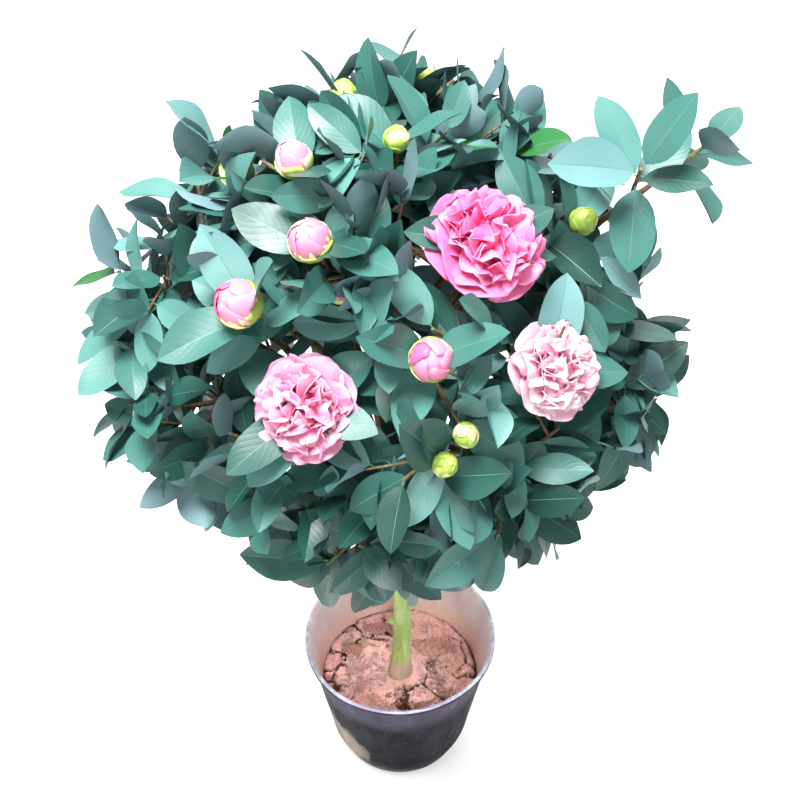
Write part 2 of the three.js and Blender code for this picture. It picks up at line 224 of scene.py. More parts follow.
def layLimbs():
    laid = {}
    for name, turn, rise, out, parentName, at, bears, *few in limbRows:
        outward = direction(turn, rise)
        radius = crown["tips"] * out
        tip = crown["centre"] + outward * wayOut(crown["centre"], outward, radius)
        parent = laid.get(parentName)
        start = curvePoint(parent, at) if parent else trunkPoint(at)
        way = unit(unit(tip - start) + outward)
        end = tip - way * mass["stem"]
        bend = end - way * bough["bend"] * np.linalg.norm(end - start)
        laid[name] = {
            "way": way,
            "out": out,
            "radius": radius,
            "curve": (start, bend, end),
            "root": bough["sideRoot"] if parent else bough["root"],
            "loads": [(load[0], int(load[1:] or 0) / 1000) for load in bears.split()],
            "twigs": few[0] if few else mass["twigs"],
        }
    return laid


def twigsOf(limb, roll):
    foot = limb["curve"][2] + limb["way"] * mass["clearance"]
    kind, size = limb["loads"][0]
    held = size * headHold["B"] if kind == "B" else 0
    found = [(foot, limb["way"], wayOut(foot, limb["way"], limb["radius"] - held))]
    for j in range(1, limb["twigs"]):
        share = (j - 1) / (mass["twigs"] - 2)
        angle = j * goldenTurn + roll() * mass["turnScatter"]
        scatter = (roll() - 0.5) * mass["leanScatter"]
        lean = mass["firstLean"] + (mass["lastLean"] - mass["firstLean"]) * share + scatter
        start = mass["firstTwig"] + (mass["lastTwig"] - mass["firstTwig"]) * share
        radius = limb["radius"] * (mass["nearest"] + (1 - mass["nearest"]) * roll())
        at = foot + limb["way"] * (mass["stem"] * start)
        way = unit(limb["way"] * math.cos(lean) + square(limb["way"], angle) * math.sin(lean))
        found.append((at, way, max(mass["shortestTwig"], wayOut(at, way, radius))))
    return found


twigPlaces = np.array((0.15, 0.25, 0.35, 0.45, 0.55, 0.65, 0.75, 0.85, 0.95, 1.0))
# where a leaf is tested for room, along and across it: between these places leaves can still cross
bladePlaces = np.array(
    [(0.18, 0), (1, 0)] + [(x, y) for x in (0.34, 0.5, 0.66, 0.82) for y in (-0.4, 0, 0.4)]
)


def makeTwig(index, j, foot, way, length, draws, load):
    end = foot + way * length
    points = foot + (end - foot) * twigPlaces[:, None]
    twig = {"index": index, "j": j, "foot": foot, "way": way, "end": end, "points": points, "draws": draws}
    kind, size = load
    if size:
        twig["head"] = {"kind": kind, "size": size, "at": end + way * size * headHold[kind], "way": way}
    return twig


def layTwigs(laid):
    twigs = []
    for index, limb in enumerate(laid.values()):
        roll = chance(mass["seed"] + mass["seedStep"] * index)
        for j, (foot, way, length) in enumerate(twigsOf(limb, roll)):
            draws = [[roll() for _ in range(4)] for _ in range(leaf["eachTwig"])]
            load = limb["loads"][j] if j < len(limb["loads"]) else ("-", 0)
            twigs.append(makeTwig(index, j, foot, way, length, draws, load))
    return twigs


# how a leaf would sit on its twig, turned by some more about the twig
def layBlade(twig, k, more, count, size=1.0):
    a, b, c, d = twig["draws"][k]
    low = k / (count - 1)
    underBloom = twig.get("head", {}).get("kind") == "B"
    spread = leaf["underBloom"] if underBloom else 0
    opened = leaf["open"] + leaf["openMore"] * low + (a - 0.5) * leaf["openScatter"] + spread
    own = size * (leaf["youngest"] if k == 0 else 1)
    length = leaf["length"] * (1 + leaf["lengthScatter"] * (2 * b - 1)) * own
    width = length * leaf["width"] * (1 + leaf["widthScatter"] * (2 * c - 1))
    leafy = leaf["leafyStem"] if twig["j"] == 0 else leaf["leafyTwig"]
    root = twig["foot"] + (twig["end"] - twig["foot"]) * (leaf["first"] - low * leafy)
    angle = twig["j"] * leaf["turnEachTwig"] + k * goldenTurn + (d - 0.5) * leaf["turnScatter"] + more
    way = twig["way"] * math.cos(opened) + square(twig["way"], angle) * math.sin(opened)
    way = unit(way - up * leaf["weight"])
    face = twig["way"] + up * leaf["light"]
    face = unit(face - way * (face @ way))
    side = np.cross(face, way)
    x, y = bladePlaces[:, :1], bladePlaces[:, 1:]
    sag = -leaf["droop"] * x * x * length - leaf["fold"] * np.abs(y) * width
    points = root + way * (x * length) + side * (y * width) + face * sag
    return {
        "index": twig["index"], "twig": twig, "root": root, "way": way, "side": side, "face": face,
        "length": length, "width": width, "points": points, "k": k,
    }


def nearest(points, others):
    if not len(others):
        return 1.0
    gaps = points[:, None, :] - others[None, :, :]
    return math.sqrt(np.einsum("ijk,ijk->ij", gaps, gaps).min())


# twigs and leaves are added in turn; one that comes too near to others is turned or skipped
class Growth:
    def __init__(self, laid):
        self.laid = list(laid.values())
        spots = [trunkPoint(i / 60) for i in range(61)]
        spots += [curvePoint(limb, i / 24) for limb in self.laid for i in range(25)]
        self.limbSpots = np.array(spots)
        self.twigs, self.blades = [], []
        self.bladeRoots, self.bladePoints = np.zeros((0, 3)), np.zeros((0, len(bladePlaces), 3))
        self.bladeLengths, self.bladeOwners = np.zeros(0), np.zeros(0, int)

    def clearOfHeads(self, points, twig, room):
        heads = [other["head"] for other in self.headed if other is not twig]
        return all(nearest(points, head["at"][None]) >= head["size"] * headRoom + room for head in heads)

    def clearOfTwigs(self, points, own, index, room, ownRoom):
        gaps = points[None, :, None, :] - self.twigPoints[:, None, :, :]
        found = np.sqrt(np.einsum("tpqk,tpqk->tpq", gaps, gaps).min(axis=(1, 2)))
        rooms = np.where(self.twigOwners == index, ownRoom, room)
        return bool(((found >= rooms) | (self.twigIds == own)).all())

    def keep(self, twigs):
        self.twigs += twigs
        self.twigPoints = np.array([t["points"] for t in self.twigs])
        self.twigOwners = np.array([t["index"] for t in self.twigs])
        self.twigIds = np.array([id(t) for t in self.twigs])

    def addTwigs(self, twigs):
        self.headed = [t for t in twigs if "head" in t]
        self.keep([t for t in twigs if t["j"] == 0])
        for twig in twigs:
            points = twig["points"]
            if twig["j"] == 0 or not self.clearOfHeads(points, twig, leaf["ownGap"]):
                continue
            if nearest(points, self.limbSpots) < bough["room"]:
                continue
            if self.clearOfTwigs(points, 0, twig["index"], mass["room"], 0):
                self.keep([twig])

    def bladeIsClear(self, blade, rooms):
        points, index = blade["points"], blade["index"]
        if (crownRadius(points) > crown["reach"] * self.laid[index]["out"]).any():
            return False
        if nearest(points, self.limbSpots) < rooms["limb"]:
            return False
        if not self.clearOfHeads(points, blade["twig"], rooms["own"]):
            return False
        far = np.linalg.norm(self.bladeRoots - blade["root"], axis=1)
        close = far <= self.bladeLengths + blade["length"] + rooms["gap"]
        own = self.bladeOwners == index
        if nearest(points, self.bladePoints[close & own].reshape(-1, 3)) < rooms["own"]:
            return False
        if nearest(points, self.bladePoints[close & ~own].reshape(-1, 3)) < rooms["gap"]:
            return False
        return self.clearOfTwigs(points, id(blade["twig"]), index, rooms["twig"], rooms["own"])

    def addBlades(self, twigs, count, rooms, size=1.0, kind="old"):
        for k in range(count):
            for twig in twigs:
                for more in leaf["turns"]:
                    blade = layBlade(twig, k, more, count, size)
                    if self.bladeIsClear(blade, rooms):
                        blade["kind"] = kind
                        self.blades.append(blade)
                        self.bladeRoots = np.vstack((self.bladeRoots, blade["root"]))
                        self.bladePoints = np.concatenate((self.bladePoints, blade["points"][None]))
                        self.bladeLengths = np.append(self.bladeLengths, blade["length"])
                        self.bladeOwners = np.append(self.bladeOwners, blade["index"])
                        break


# the finer side shoots that grow on from the twigs, within the same reach
shoots = {
    "each": 3,
    "first": 0.25,
    "last": 0.85,
    "lean": 0.95,
    "leanScatter": 0.5,
    "length": 0.05,
    "lengthScatter": 0.25,
    "radius": 0.0013,
    "tipRadius": 0.0011,
    "leaves": 5,
    "leafSize": 0.84,
    "reach": 1.05,
    "limbRoom": 0.008,
    "twigRoom": 0.006,
    "ownRoom": 0.005,
    "seed": 4000,
    "seedStep": 11,
}
coarseRooms = {"limb": bough["room"], "own": leaf["ownGap"], "gap": leaf["gap"], "twig": mass["room"]}
fineRooms = {"limb": 0.005, "own": 0.003, "gap": 0.003, "twig": 0.003}


def layShoots(growth):
    found = []
    for n, twig in enumerate(growth.twigs):
        limb = growth.laid[twig["index"]]
        if limb["twigs"] < mass["twigs"]:
            continue
        roll = chance(shoots["seed"] + shoots["seedStep"] * n)
        for s in range(shoots["each"]):
            share = shoots["first"] + (shoots["last"] - shoots["first"]) * s / (shoots["each"] - 1)
            lean = shoots["lean"] + (roll() - 0.5) * shoots["leanScatter"]
            angle = n + s * goldenTurn + roll()
            length = shoots["length"] * (1 + (roll() - 0.5) * 2 * shoots["lengthScatter"])
            draws = [[roll() for _ in range(4)] for _ in range(shoots["leaves"])]
            foot = twig["foot"] + (twig["end"] - twig["foot"]) * share
            way = unit(twig["way"] * math.cos(lean) + square(twig["way"], angle) * math.sin(lean))
            shoot = makeTwig(twig["index"], 1 + s + n, foot, way, length, draws, ("-", 0))
            reach = crown["tips"] * limb["out"] * shoots["reach"]
            if crownRadius(shoot["end"]) > reach or nearest(shoot["points"], growth.limbSpots) < shoots["limbRoom"]:
                continue
            if growth.clearOfTwigs(shoot["points"], id(twig), twig["index"], shoots["twigRoom"], shoots["ownRoom"]):
                shoot["parent"] = twig
                found.append(shoot)
    return found


laid = layLimbs()
growth = Growth(laid)
growth.addTwigs(layTwigs(laid))
growth.addBlades(list(growth.twigs), leaf["eachTwig"], coarseRooms)
mainTwigs = list(growth.twigs)
print("grown:", len(mainTwigs), "twigs,", len(growth.blades), "large leaves")
fineTwigs = layShoots(growth)
growth.keep(fineTwigs)
growth.addBlades(fineTwigs, shoots["leaves"], fineRooms, shoots["leafSize"], "fine")
print("grown on:", len(fineTwigs), "side shoots,", len(growth.blades), "leaves in all")


def addNode(tree, kind, sources=None, **settings):
    made = tree.nodes.new("ShaderNode" + kind)
    for key, value in settings.items():
        setattr(made, key, value)
    for key, value in (sources or {}).items():
        if isinstance(value, bpy.types.NodeSocket):
            tree.links.new(value, made.inputs[key])
        else:
            made.inputs[key].default_value = value
    return made


def maths(tree, operation, *values):
    return addNode(tree, "Math", dict(enumerate(values)), operation=operation).outputs[0]


# noise of a given scale at a place, as a number about 0.5
def noiseOf(tree, place, scale, detail=4, roughness=0.55):
    values = {"Vector": place, "Scale": scale, "Detail": detail, "Roughness": roughness}
    return addNode(tree, "TexNoise", values).outputs["Fac"]


def rampOf(tree, value, *stops):
    ramp = addNode(tree, "ValToRGB", {"Fac": value})
    points = ramp.color_ramp.elements
    while len(points) < len(stops):
        points.new(0.5)
    for point, (position, color) in zip(points, stops):
        point.position = position
        point.color = (*color, 1)
    return ramp.outputs["Color"]


def rangeOf(tree, value, low, high, to=(0.0, 1.0)):
    values = {"Value": value, "From Min": low, "From Max": high, "To Min": to[0], "To Max": to[1]}
    return addNode(tree, "MapRange", values).outputs["Result"]


def mixOf(tree, factor, first, second):
    made = addNode(tree, "Mix", data_type="RGBA")
    for socket, value in zip((made.inputs[0], made.inputs[6], made.inputs[7]), (factor, first, second)):
        if isinstance(value, bpy.types.NodeSocket):
            tree.links.new(value, socket)
        else:
            socket.default_value = (*value, 1) if isinstance(value, tuple) else value
    return made.outputs[2]


# the object's own place, stretched by some factors
def placeOf(tree, *stretch):
    place = addNode(tree, "TexCoord").outputs["Object"]
    if not stretch:
        return place
    return addNode(tree, "Mapping", {"Vector": place, "Scale": stretch}).outputs["Vector"]


def axisOf(tree, place, axis):
    return addNode(tree, "SeparateXYZ", {"Vector": place}).outputs[axis]


# noise made to swing about 0
def swing(tree, value, amount):
    return maths(tree, "MULTIPLY", maths(tree, "SUBTRACT", value, 0.5), amount)


def newFinish(name, color=(0.5, 0.5, 0.5), **values):
    made = bpy.data.materials.new(name)
    made.use_nodes = True
    tree = made.node_tree
    shader = tree.nodes["Principled BSDF"]
    shader.inputs["Base Color"].default_value = (*color, 1)
    for key, value in values.items():
        shader.inputs[key.replace("_", " ")].default_value = value
    return made, tree, shader


def plug(tree, shader, **sources):
    for key, value in sources.items():
        tree.links.new(value, shader.inputs[key.replace("_", " ")])


def relief(tree, shader, height, depth, strength=1.0):
    values = {"Height": height, "Distance": depth, "Strength": strength}
    plug(tree, shader, Normal=addNode(tree, "Bump", values).outputs["Normal"])


def addObject(name, data):
    made = bpy.data.objects.new(name, data)
    scene.collection.objects.link(made)
    return made


def addMesh(name, mesh, slot, *replaced):
    piece = addObject(name, mesh)
    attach(piece, "root")
    if replaced:
        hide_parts(*replaced)
    print(name + ":", len(mesh.polygons), "faces")
    return piece


def meshOf(name, bm, *finishes):
    mesh = bpy.data.meshes.new(name)
    bm.to_mesh(mesh)
    bm.free()
    for each in finishes:
        mesh.materials.append(each)
    return mesh


def facesOf(made):
    return {face for v in made["verts"] for face in v.link_faces}


def smoothFaces(faces, finish=0):
    for face in faces:
        face.smooth = True
        face.material_index = finish


# a profile of radii and heights, turned once about +Z
def turnProfile(bm, places, steps, merge):
    corners = [bm.verts.new((r, 0, z)) for r, z in places]
    edges = [bm.edges.new(pair) for pair in zip(corners, corners[1:])]
    around = {"axis": (0, 0, 1), "cent": (0, 0, 0), "angle": 2 * math.pi, "use_merge": True}
    bmesh.ops.spin(bm, geom=corners + edges, steps=steps, **around)
    bmesh.ops.remove_doubles(bm, verts=bm.verts, dist=merge)


# the arrays of a small mesh, from which many copies are joined
def readForm(mesh):
    def read(items, key, kind, width=1):
        found = np.empty(len(items) * width, kind)
        items.foreach_get(key, found)
        return found.reshape(-1, width) if width > 1 else found

    sharp = mesh.attributes.get("sharp_edge")
    return {
        "co": read(mesh.vertices, "co", np.float32, 3),
        "edges": read(mesh.edges, "vertices", np.int32, 2),
        "sharp": read(sharp.data, "value", bool) if sharp else np.zeros(len(mesh.edges), bool),
        "corners": read(mesh.loops, "vertex_index", np.int32),
        "cornerEdges": read(mesh.loops, "edge_index", np.int32),
        "starts": read(mesh.polygons, "loop_start", np.int32),
        "finishes": read(mesh.polygons, "material_index", np.int32),
        "uv": read(mesh.uv_layers.active.uv, "vector", np.float32, 2),
    }


# copies: one entry for each form, with its vertices' places and the finish of each of its parts
def joinForms(name, forms, copies, finishes):
    parts = {key: [] for key in forms[0]}
    vertices = edges = corners = 0
    for form, (places, kinds) in zip(forms, copies):
        n = len(places)
        if not n:
            continue
        steps = np.arange(n)[:, None]
        ownVertices = vertices + steps * len(form["co"])
        ownEdges = edges + steps * len(form["edges"])
        ownCorners = corners + steps * len(form["corners"])
        shifts = {"edges": ownVertices, "corners": ownVertices, "cornerEdges": ownEdges, "starts": ownCorners}
        for key, shift in shifts.items():
            parts[key].append((form[key].ravel() + shift).ravel())
        for key in ("sharp", "uv"):
            parts[key].append(np.tile(form[key].ravel(), n))
        parts["co"].append(places.ravel())
        parts["finishes"].append(kinds[steps, form["finishes"][None]].ravel())
        vertices += n * len(form["co"])
        edges += n * len(form["edges"])
        corners += n * len(form["corners"])
    whole = {key: np.concatenate(found) for key, found in parts.items()}
    mesh = bpy.data.meshes.new(name)
    mesh.vertices.add(vertices)
    mesh.edges.add(edges)
    mesh.loops.add(corners)
    mesh.polygons.add(len(whole["starts"]))
    mesh.vertices.foreach_set("co", whole["co"].astype(np.float32))
    for items, key, part in (
        (mesh.edges, "vertices", "edges"),
        (mesh.loops, "vertex_index", "corners"),
        (mesh.loops, "edge_index", "cornerEdges"),
        (mesh.polygons, "loop_start", "starts"),
        (mesh.polygons, "material_index", "finishes"),
    ):
        items.foreach_set(key, whole[part].astype(np.int32))
    mesh.uv_layers.new(name="UVMap").uv.foreach_set("vector", whole["uv"].astype(np.float32))
    sharp = mesh.attributes.new("sharp_edge", "BOOLEAN", "EDGE")
    sharp.data.foreach_set("value", whole["sharp"])
    for each in finishes:
        mesh.materials.append(each)
    mesh.update()
    mesh.validate()
    return mesh


# the turn that brings +Z to the given way, after a spin about +Z
def turnTo(way, spin=0.0):
    aim = Vector((0, 0, 1)).rotation_difference(Vector(way)).to_matrix()
    return np.array(aim @ Matrix.Rotation(spin, 3, "Z"))


# leaves: stations along the blade, the blade's width at each, and the lines across it
leafShape = {
    "stations": (0, 0.08, 0.13, 0.2, 0.29, 0.39, 0.5, 0.61, 0.71, 0.8, 0.88, 0.945, 1),
    "outline": (0.035, 0.04, 0.32, 0.6, 0.82, 0.95, 1.0, 0.98, 0.89, 0.73, 0.52, 0.27, 0),
    "across": (-1, -0.018, 0.018, 1),
    "acrossUnder": (-1, 0, 1),
    "thick": 0.01,
    "width": 0.79,
    "length": 0.93,
    "forms": 8,
    "leastDroop": 0.06,
    "moreDroop": 0.18,
    "fold": 0.34,
    "wave": 0.014,
    "moreWave": 0.014,
    "twist": 0.5,
}


# a leaf lies along x from 0 to 1 and is 1 wide: part 0 is the blade, 1 its vein and stalk, 2 its underside
def leafForm(droop, fold, wave, twist, phase):
    bm = bmesh.new()
    uv = bm.loops.layers.uv.new("UVMap")
    stations, outline = leafShape["stations"], leafShape["outline"]
    steps = len(stations) - 1
    for under, across in ((False, leafShape["across"]), (True, leafShape["acrossUnder"])):
        lines = len(across) - 1
        made = bmesh.ops.create_grid(bm, x_segments=steps, y_segments=lines, size=0.5)
        spots = {}
        for v in made["verts"]:
            i, j = round((v.co.x + 0.5) * steps), round((v.co.y + 0.5) * lines)
            t, s = stations[i], across[j]
            y = s * 0.5 * outline[i]
            rim = s * s * outline[i]
            z = -droop * t * t + fold * abs(y) + twist * t * y
            z += wave * rim * math.sin(8 * t + phase + (2.1 if s > 0 else 0))
            inner = 1 - abs(s)
            z -= leafShape["thick"] * min(1, 2 * inner) if under else 0
            v.co = (t, y, z)
            spots[v] = (t, s)
        for face in facesOf(made):
            for loop in face.loops:
                t, s = spots[loop.vert]
                loop[uv].uv = (t, 0.5 + 0.5 * s)
            middle = max(abs(spots[v][1]) for v in face.verts) < 0.1
            stalk = max(spots[v][0] for v in face.verts) < 0.1
            face.material_index = 1 if stalk or (middle and not under) else 2 if under else 0
            face.smooth = True
            if under:
                face.normal_flip()
    rims = [e for e in bm.edges if len(e.link_faces) == 1]
    bmesh.ops.remove_doubles(bm, verts=list({v for e in rims for v in e.verts}), dist=1e-5)
    for edge in bm.edges:
        if len({f.material_index == 2 for f in edge.link_faces}) == 2:
            edge.smooth = False
    return meshOf("leafForm", bm)


leafForms = []
roll = chance(61)
for n in range(leafShape["forms"]):
    droop = leafShape["leastDroop"] + leafShape["moreDroop"] * roll()
    fold = leafShape["fold"] * roll()
    wave = leafShape["wave"] + leafShape["moreWave"] * roll()
    leafForms.append(readForm(leafForm(droop, fold, wave, leafShape["twist"] * (roll() - 0.5), 6 * roll())))
print("leaf forms:", len(leafForms), "of", len(leafForms[0]["starts"]), "faces")

# share of the leaves up to which each tone is dealt, and the tone
# the dark tones also serve as painted shade on the lower leaves, and the pale ones as painted light on the upper
# leaves
leafTones = [
    (0.2, "ink", (0.010, 0.046, 0.036)),
    (0.46, "deep", (0.017, 0.074, 0.06)),
    (0.7, "middle", (0.037, 0.128, 0.109)),
    (0.88, "pale", (0.078, 0.21, 0.187)),
    (0.97, "grey", (0.12, 0.25, 0.245)),
    (1.0, "young", (0.02, 0.12, 0.032)),
]
leafFinish = {"veins": 9.0, "veinLean": 3.2, "veinDepth": 0.0001, "grain": 150.0}


# side veins that run out and forwards from the middle one, with a fine grain between them
def leafSkin(name, color, gloss, veined=1.0):
    made, tree, shader = newFinish(name, color, Specular_IOR_Level=0.38)
    along = addNode(tree, "SeparateXYZ", {"Vector": addNode(tree, "TexCoord").outputs["UV"]})
    aside = maths(tree, "ABSOLUTE", maths(tree, "SUBTRACT", along.outputs["Y"], 0.5))
    place = maths(tree, "MULTIPLY", along.outputs["X"], leafFinish["veins"])
    turn = maths(tree, "SUBTRACT", place, maths(tree, "MULTIPLY", aside, leafFinish["veinLean"] * 2))
    ridge = maths(tree, "ABSOLUTE", maths(tree, "SINE", maths(tree, "MULTIPLY", turn, math.pi)))
    grain = noiseOf(tree, placeOf(tree), leafFinish["grain"], 2)
    spotted = noiseOf(tree, placeOf(tree), 34, 2)
    height = maths(tree, "ADD", maths(tree, "POWER", ridge, 0.4), maths(tree, "MULTIPLY", grain, 0.9))
    relief(tree, shader, height, leafFinish["veinDepth"] * veined, 0.75)
    plug(tree, shader, Roughness=rangeOf(tree, spotted, 0.3, 0.7, (gloss - 0.07, gloss + 0.1)))
    return made


leafFinishes = [leafSkin("leaf_" + name, color, 0.4) for _, name, color in leafTones]
leafFinishes.append(leafSkin("leafVein", (0.075, 0.19, 0.13), 0.45, 0.2))
leafFinishes.append(leafSkin("leafUnder", (0.12, 0.21, 0.225), 0.6))

# leaves are dealt darker tones from some height downwards, as painted shade, and paler ones above it, as painted
# light; a tone mixes the twig's draw with the leaf's own, and a few are young
leafShade = {
    "top": 0.8,
    "depth": 0.4,
    "most": 0.85,
    "byTwig": 0.45,
    "byLeaf": 0.55,
    "lift": 0.15,
    "paintedLightUntil": 0.7,
    "palest": 0.96,
    "young": 0.999,
    "youngAbove": 0.75,
    "youngShare": 0.1,
}


def joinLeaves(name, blades, seed):
    roll = chance(seed)
    picks = [[] for _ in leafForms]
    shares = [share for share, _, _ in leafTones]
    tones = {}
    for blade in blades:
        owner = id(blade["twig"])
        if owner not in tones:
            tones[owner] = roll()
        height = blade["root"][2]
        # painted shade: the lower a leaf sits, the darker its tone; the lift adds painted light to the upper leaves
        # and darkens the lowest still further
        shaded = leafShade["most"] * min(1, max(0, (leafShade["top"] - height) / leafShade["depth"]))
        drawn = leafShade["byTwig"] * tones[owner] + leafShade["byLeaf"] * roll()
        tone = drawn * (1 - shaded) + leafShade["lift"] * (leafShade["paintedLightUntil"] - shaded)
        tone = min(leafShade["palest"], tone)
        if blade["k"] == 0 and height > leafShade["youngAbove"] and roll() < leafShade["youngShare"]:
            tone = leafShade["young"]
        picks[int(roll() * len(leafForms))].append((blade, int(np.searchsorted(shares, tone))))
    copies = []
    for form, picked in zip(leafForms, picks):
        places = np.zeros((len(picked), len(form["co"]), 3))
        kinds = np.zeros((len(picked), 3), int)
        for i, (blade, tone) in enumerate(picked):
            x = form["co"][:, 0:1] * blade["length"] * leafShape["length"]
            y = form["co"][:, 1:2] * blade["width"] * leafShape["width"]
            z = form["co"][:, 2:3] * blade["length"]
            places[i] = blade["root"] + blade["way"] * x + blade["side"] * y + blade["face"] * z
            kinds[i] = (tone, len(leafTones), len(leafTones) + 1)
        copies.append((places, kinds))
    return addMesh(name, joinForms(name, leafForms, copies, leafFinishes), "foliage")


leaves = joinLeaves("leaves", growth.blades, 77)
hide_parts(*[n for n in frame["nodes"] if n.startswith("foliage_")])


# tapering round limbs along paths: each is a list of points and a list of radii
def tubes(name, paths, resolution):
    curve = bpy.data.curves.new(name, "CURVE")
    curve.dimensions = "3D"
    curve.bevel_depth = 1
    curve.bevel_resolution = resolution
    curve.use_fill_caps = True
    for points, radii in paths:
        spline = curve.splines.new("POLY")
        spline.points.add(len(points) - 1)
        spline.points.foreach_set("co", np.c_[points, np.ones(len(points))].ravel())
        spline.points.foreach_set("radius", np.asarray(radii, float))
        spline.use_smooth = True
    holder = addObject(name, curve)
    mesh = bpy.data.meshes.new_from_object(holder.evaluated_get(bpy.context.evaluated_depsgraph_get()))
    bpy.data.objects.remove(holder)
    mesh.name = name
    return mesh


# pushes a mesh's points in and out along their normals by noise
def roughen(mesh, scale, depth, stretch=(1.0, 1.0, 1.0)):
    for v in mesh.vertices:
        place = Vector(v.co[i] * scale * stretch[i] for i in range(3))
        v.co += v.normal * noise.noise(place) * depth


barkShape = {
    "trunkSides": 10,
    "trunkRings": 110,
    "trunkNoise": 0.0011,
    "trunkScale": 55.0,
    # how far up, at which angle, how far out
    "knots": (
        (0.05, 2.2, 0.003),
        (0.105, 4.4, 0.0016),
        (0.155, 0.8, 0.0022),
        (0.21, 3.3, 0.0018),
        (0.28, 5.3, 0.002),
    ),
    "knotHeight": 0.012,
    "knotWidth": 0.55,
    "buttress": 0.0022,
    "buttressTop": 0.07,
    "stubAt": 0.19,
    "stubTurn": -82,
    "stubRise": 38,
    "stubLength": 0.021,
    "collar": 0.031,
    "boughSides": 4,
    "boughRings": 30,
    "boughNoise": 0.0007,
    "knuckle": 0.16,
}


def trunkFinish():
    made, tree, shader = newFinish("trunkBark", Roughness=0.55, Specular_IOR_Level=0.35)
    place = placeOf(tree)
    streaks = noiseOf(tree, placeOf(tree, 90, 90, 14), 1, 5)
    patches = noiseOf(tree, placeOf(tree, 30, 30, 16), 1, 3)
    greens = (0.3, (0.17, 0.29, 0.06)), (0.5, (0.31, 0.43, 0.14)), (0.7, (0.52, 0.58, 0.31))
    green = rampOf(tree, streaks, *greens)
    green = mixOf(tree, rangeOf(tree, patches, 0.56, 0.7), green, (0.27, 0.45, 0.08))
    old = rampOf(tree, streaks, (0.3, (0.13, 0.075, 0.04)), (0.7, (0.25, 0.16, 0.09)))
    soiled = rampOf(tree, streaks, (0.3, (0.32, 0.21, 0.13)), (0.7, (0.56, 0.42, 0.31)))
    height = axisOf(tree, place, "Z")
    height = maths(tree, "ADD", height, swing(tree, patches, 0.03))
    low = trunk["foot"] + barkShape["collar"]
    color = mixOf(tree, rangeOf(tree, height, 0.36, 0.5), green, old)
    color = mixOf(tree, rangeOf(tree, height, low + 0.004, low - 0.003), color, soiled)
    plug(tree, shader, Base_Color=color)
    relief(tree, shader, streaks, 0.0016, 0.8)
    return made


shares = np.linspace(0, 1, barkShape["trunkRings"]) ** 1.3
paths = [([trunkPoint(s) for s in shares], [trunkRadius(s) for s in shares])]
stubWay = direction(barkShape["stubTurn"], barkShape["stubRise"])
stubSteps = np.linspace(0, 1, 9)
stubRoot = trunkPoint(barkShape["stubAt"])
paths.append((
    [stubRoot + (stubWay + up * 0.25 * s) * s * barkShape["stubLength"] for s in stubSteps],
    np.interp(stubSteps, (0, 0.45, 0.6, 0.9, 1), (0.0062, 0.0038, 0.0032, 0.0034, 0.0022)),
))
trunkMesh = tubes("trunkBark", paths, barkShape["trunkSides"])
for v in trunkMesh.vertices:
    share = (v.co.z - trunk["foot"]) / (trunk["top"] - trunk["foot"])
    middle = trunkPoint(min(1, max(0, share)))
    out = Vector(v.co - Vector(middle))
    out.z = 0
    angle = math.atan2(out.y, out.x)
    for at, side, size in barkShape["knots"]:
        apart = math.remainder(angle - side, 2 * math.pi)
        v.co += out.normalized() * size * math.exp(
            -((share - at) / barkShape["knotHeight"]) ** 2 - (apart / barkShape["knotWidth"]) ** 2
        )
    if share < barkShape["buttressTop"]:
        ridges = 0.5 + 0.5 * math.cos(3 * angle + 1)
        v.co += out.normalized() * barkShape["buttress"] * (1 - share / barkShape["buttressTop"]) * ridges
footVertices = {v.index for v in trunkMesh.vertices if v.co.z < trunk["foot"] + 0.0004}
roughen(trunkMesh, barkShape["trunkScale"], barkShape["trunkNoise"], (1, 1, 0.3))
roughen(trunkMesh, 220, 0.0004, (1, 1, 0.5))
for index in footVertices:
    trunkMesh.vertices[index].co.z = trunk["foot"]
trunkMesh.materials.append(trunkFinish())
addMesh("trunkBark", trunkMesh, "trunk", "trunk")


def boughFinish(name, young, old, lichen):
    made, tree, shader = newFinish(name, Roughness=0.68, Specular_IOR_Level=0.3)
    grain = noiseOf(tree, placeOf(tree), 190, 6, 0.65)
    patches = noiseOf(tree, placeOf(tree), 26, 4)
    bark = rampOf(tree, grain, (0.3, young), (0.55, old), (0.78, lichen))
    green = rampOf(tree, grain, (0.3, (0.1, 0.13, 0.035)), (0.7, (0.25, 0.27, 0.1)))
    plug(tree, shader, Base_Color=mixOf(tree, rangeOf(tree, patches, 0.5, 0.66), bark, green))
    relief(tree, shader, grain, 0.0012, 0.9)
    return made


paths = []
for index, limb in enumerate(laid.values()):
    roll = chance(900 + index)
    t = np.linspace(0, 1, barkShape["boughRings"])
    radii = np.interp(t, (0, 1), (limb["root"], bough["tip"]))
    joints = [0.12 + 0.86 * (n + 0.6 * roll()) / 6 for n in range(6)]
    for joint in joints:
        radii *= 1 + barkShape["knuckle"] * np.exp(-(((t - joint) / 0.022) ** 2))
    paths.append(([curvePoint(limb, s) for s in t], radii))
boughMesh = tubes("boughBark", paths, barkShape["boughSides"])
roughen(boughMesh, 130, barkShape["boughNoise"])
boughMesh.materials.append(boughFinish("boughBark", (0.07, 0.032, 0.016), (0.16, 0.075, 0.04), (0.34, 0.24, 0.17)))
addMesh("boughBark", boughMesh, "bough", *[n for n in frame["nodes"] if n.startswith("bough_")])

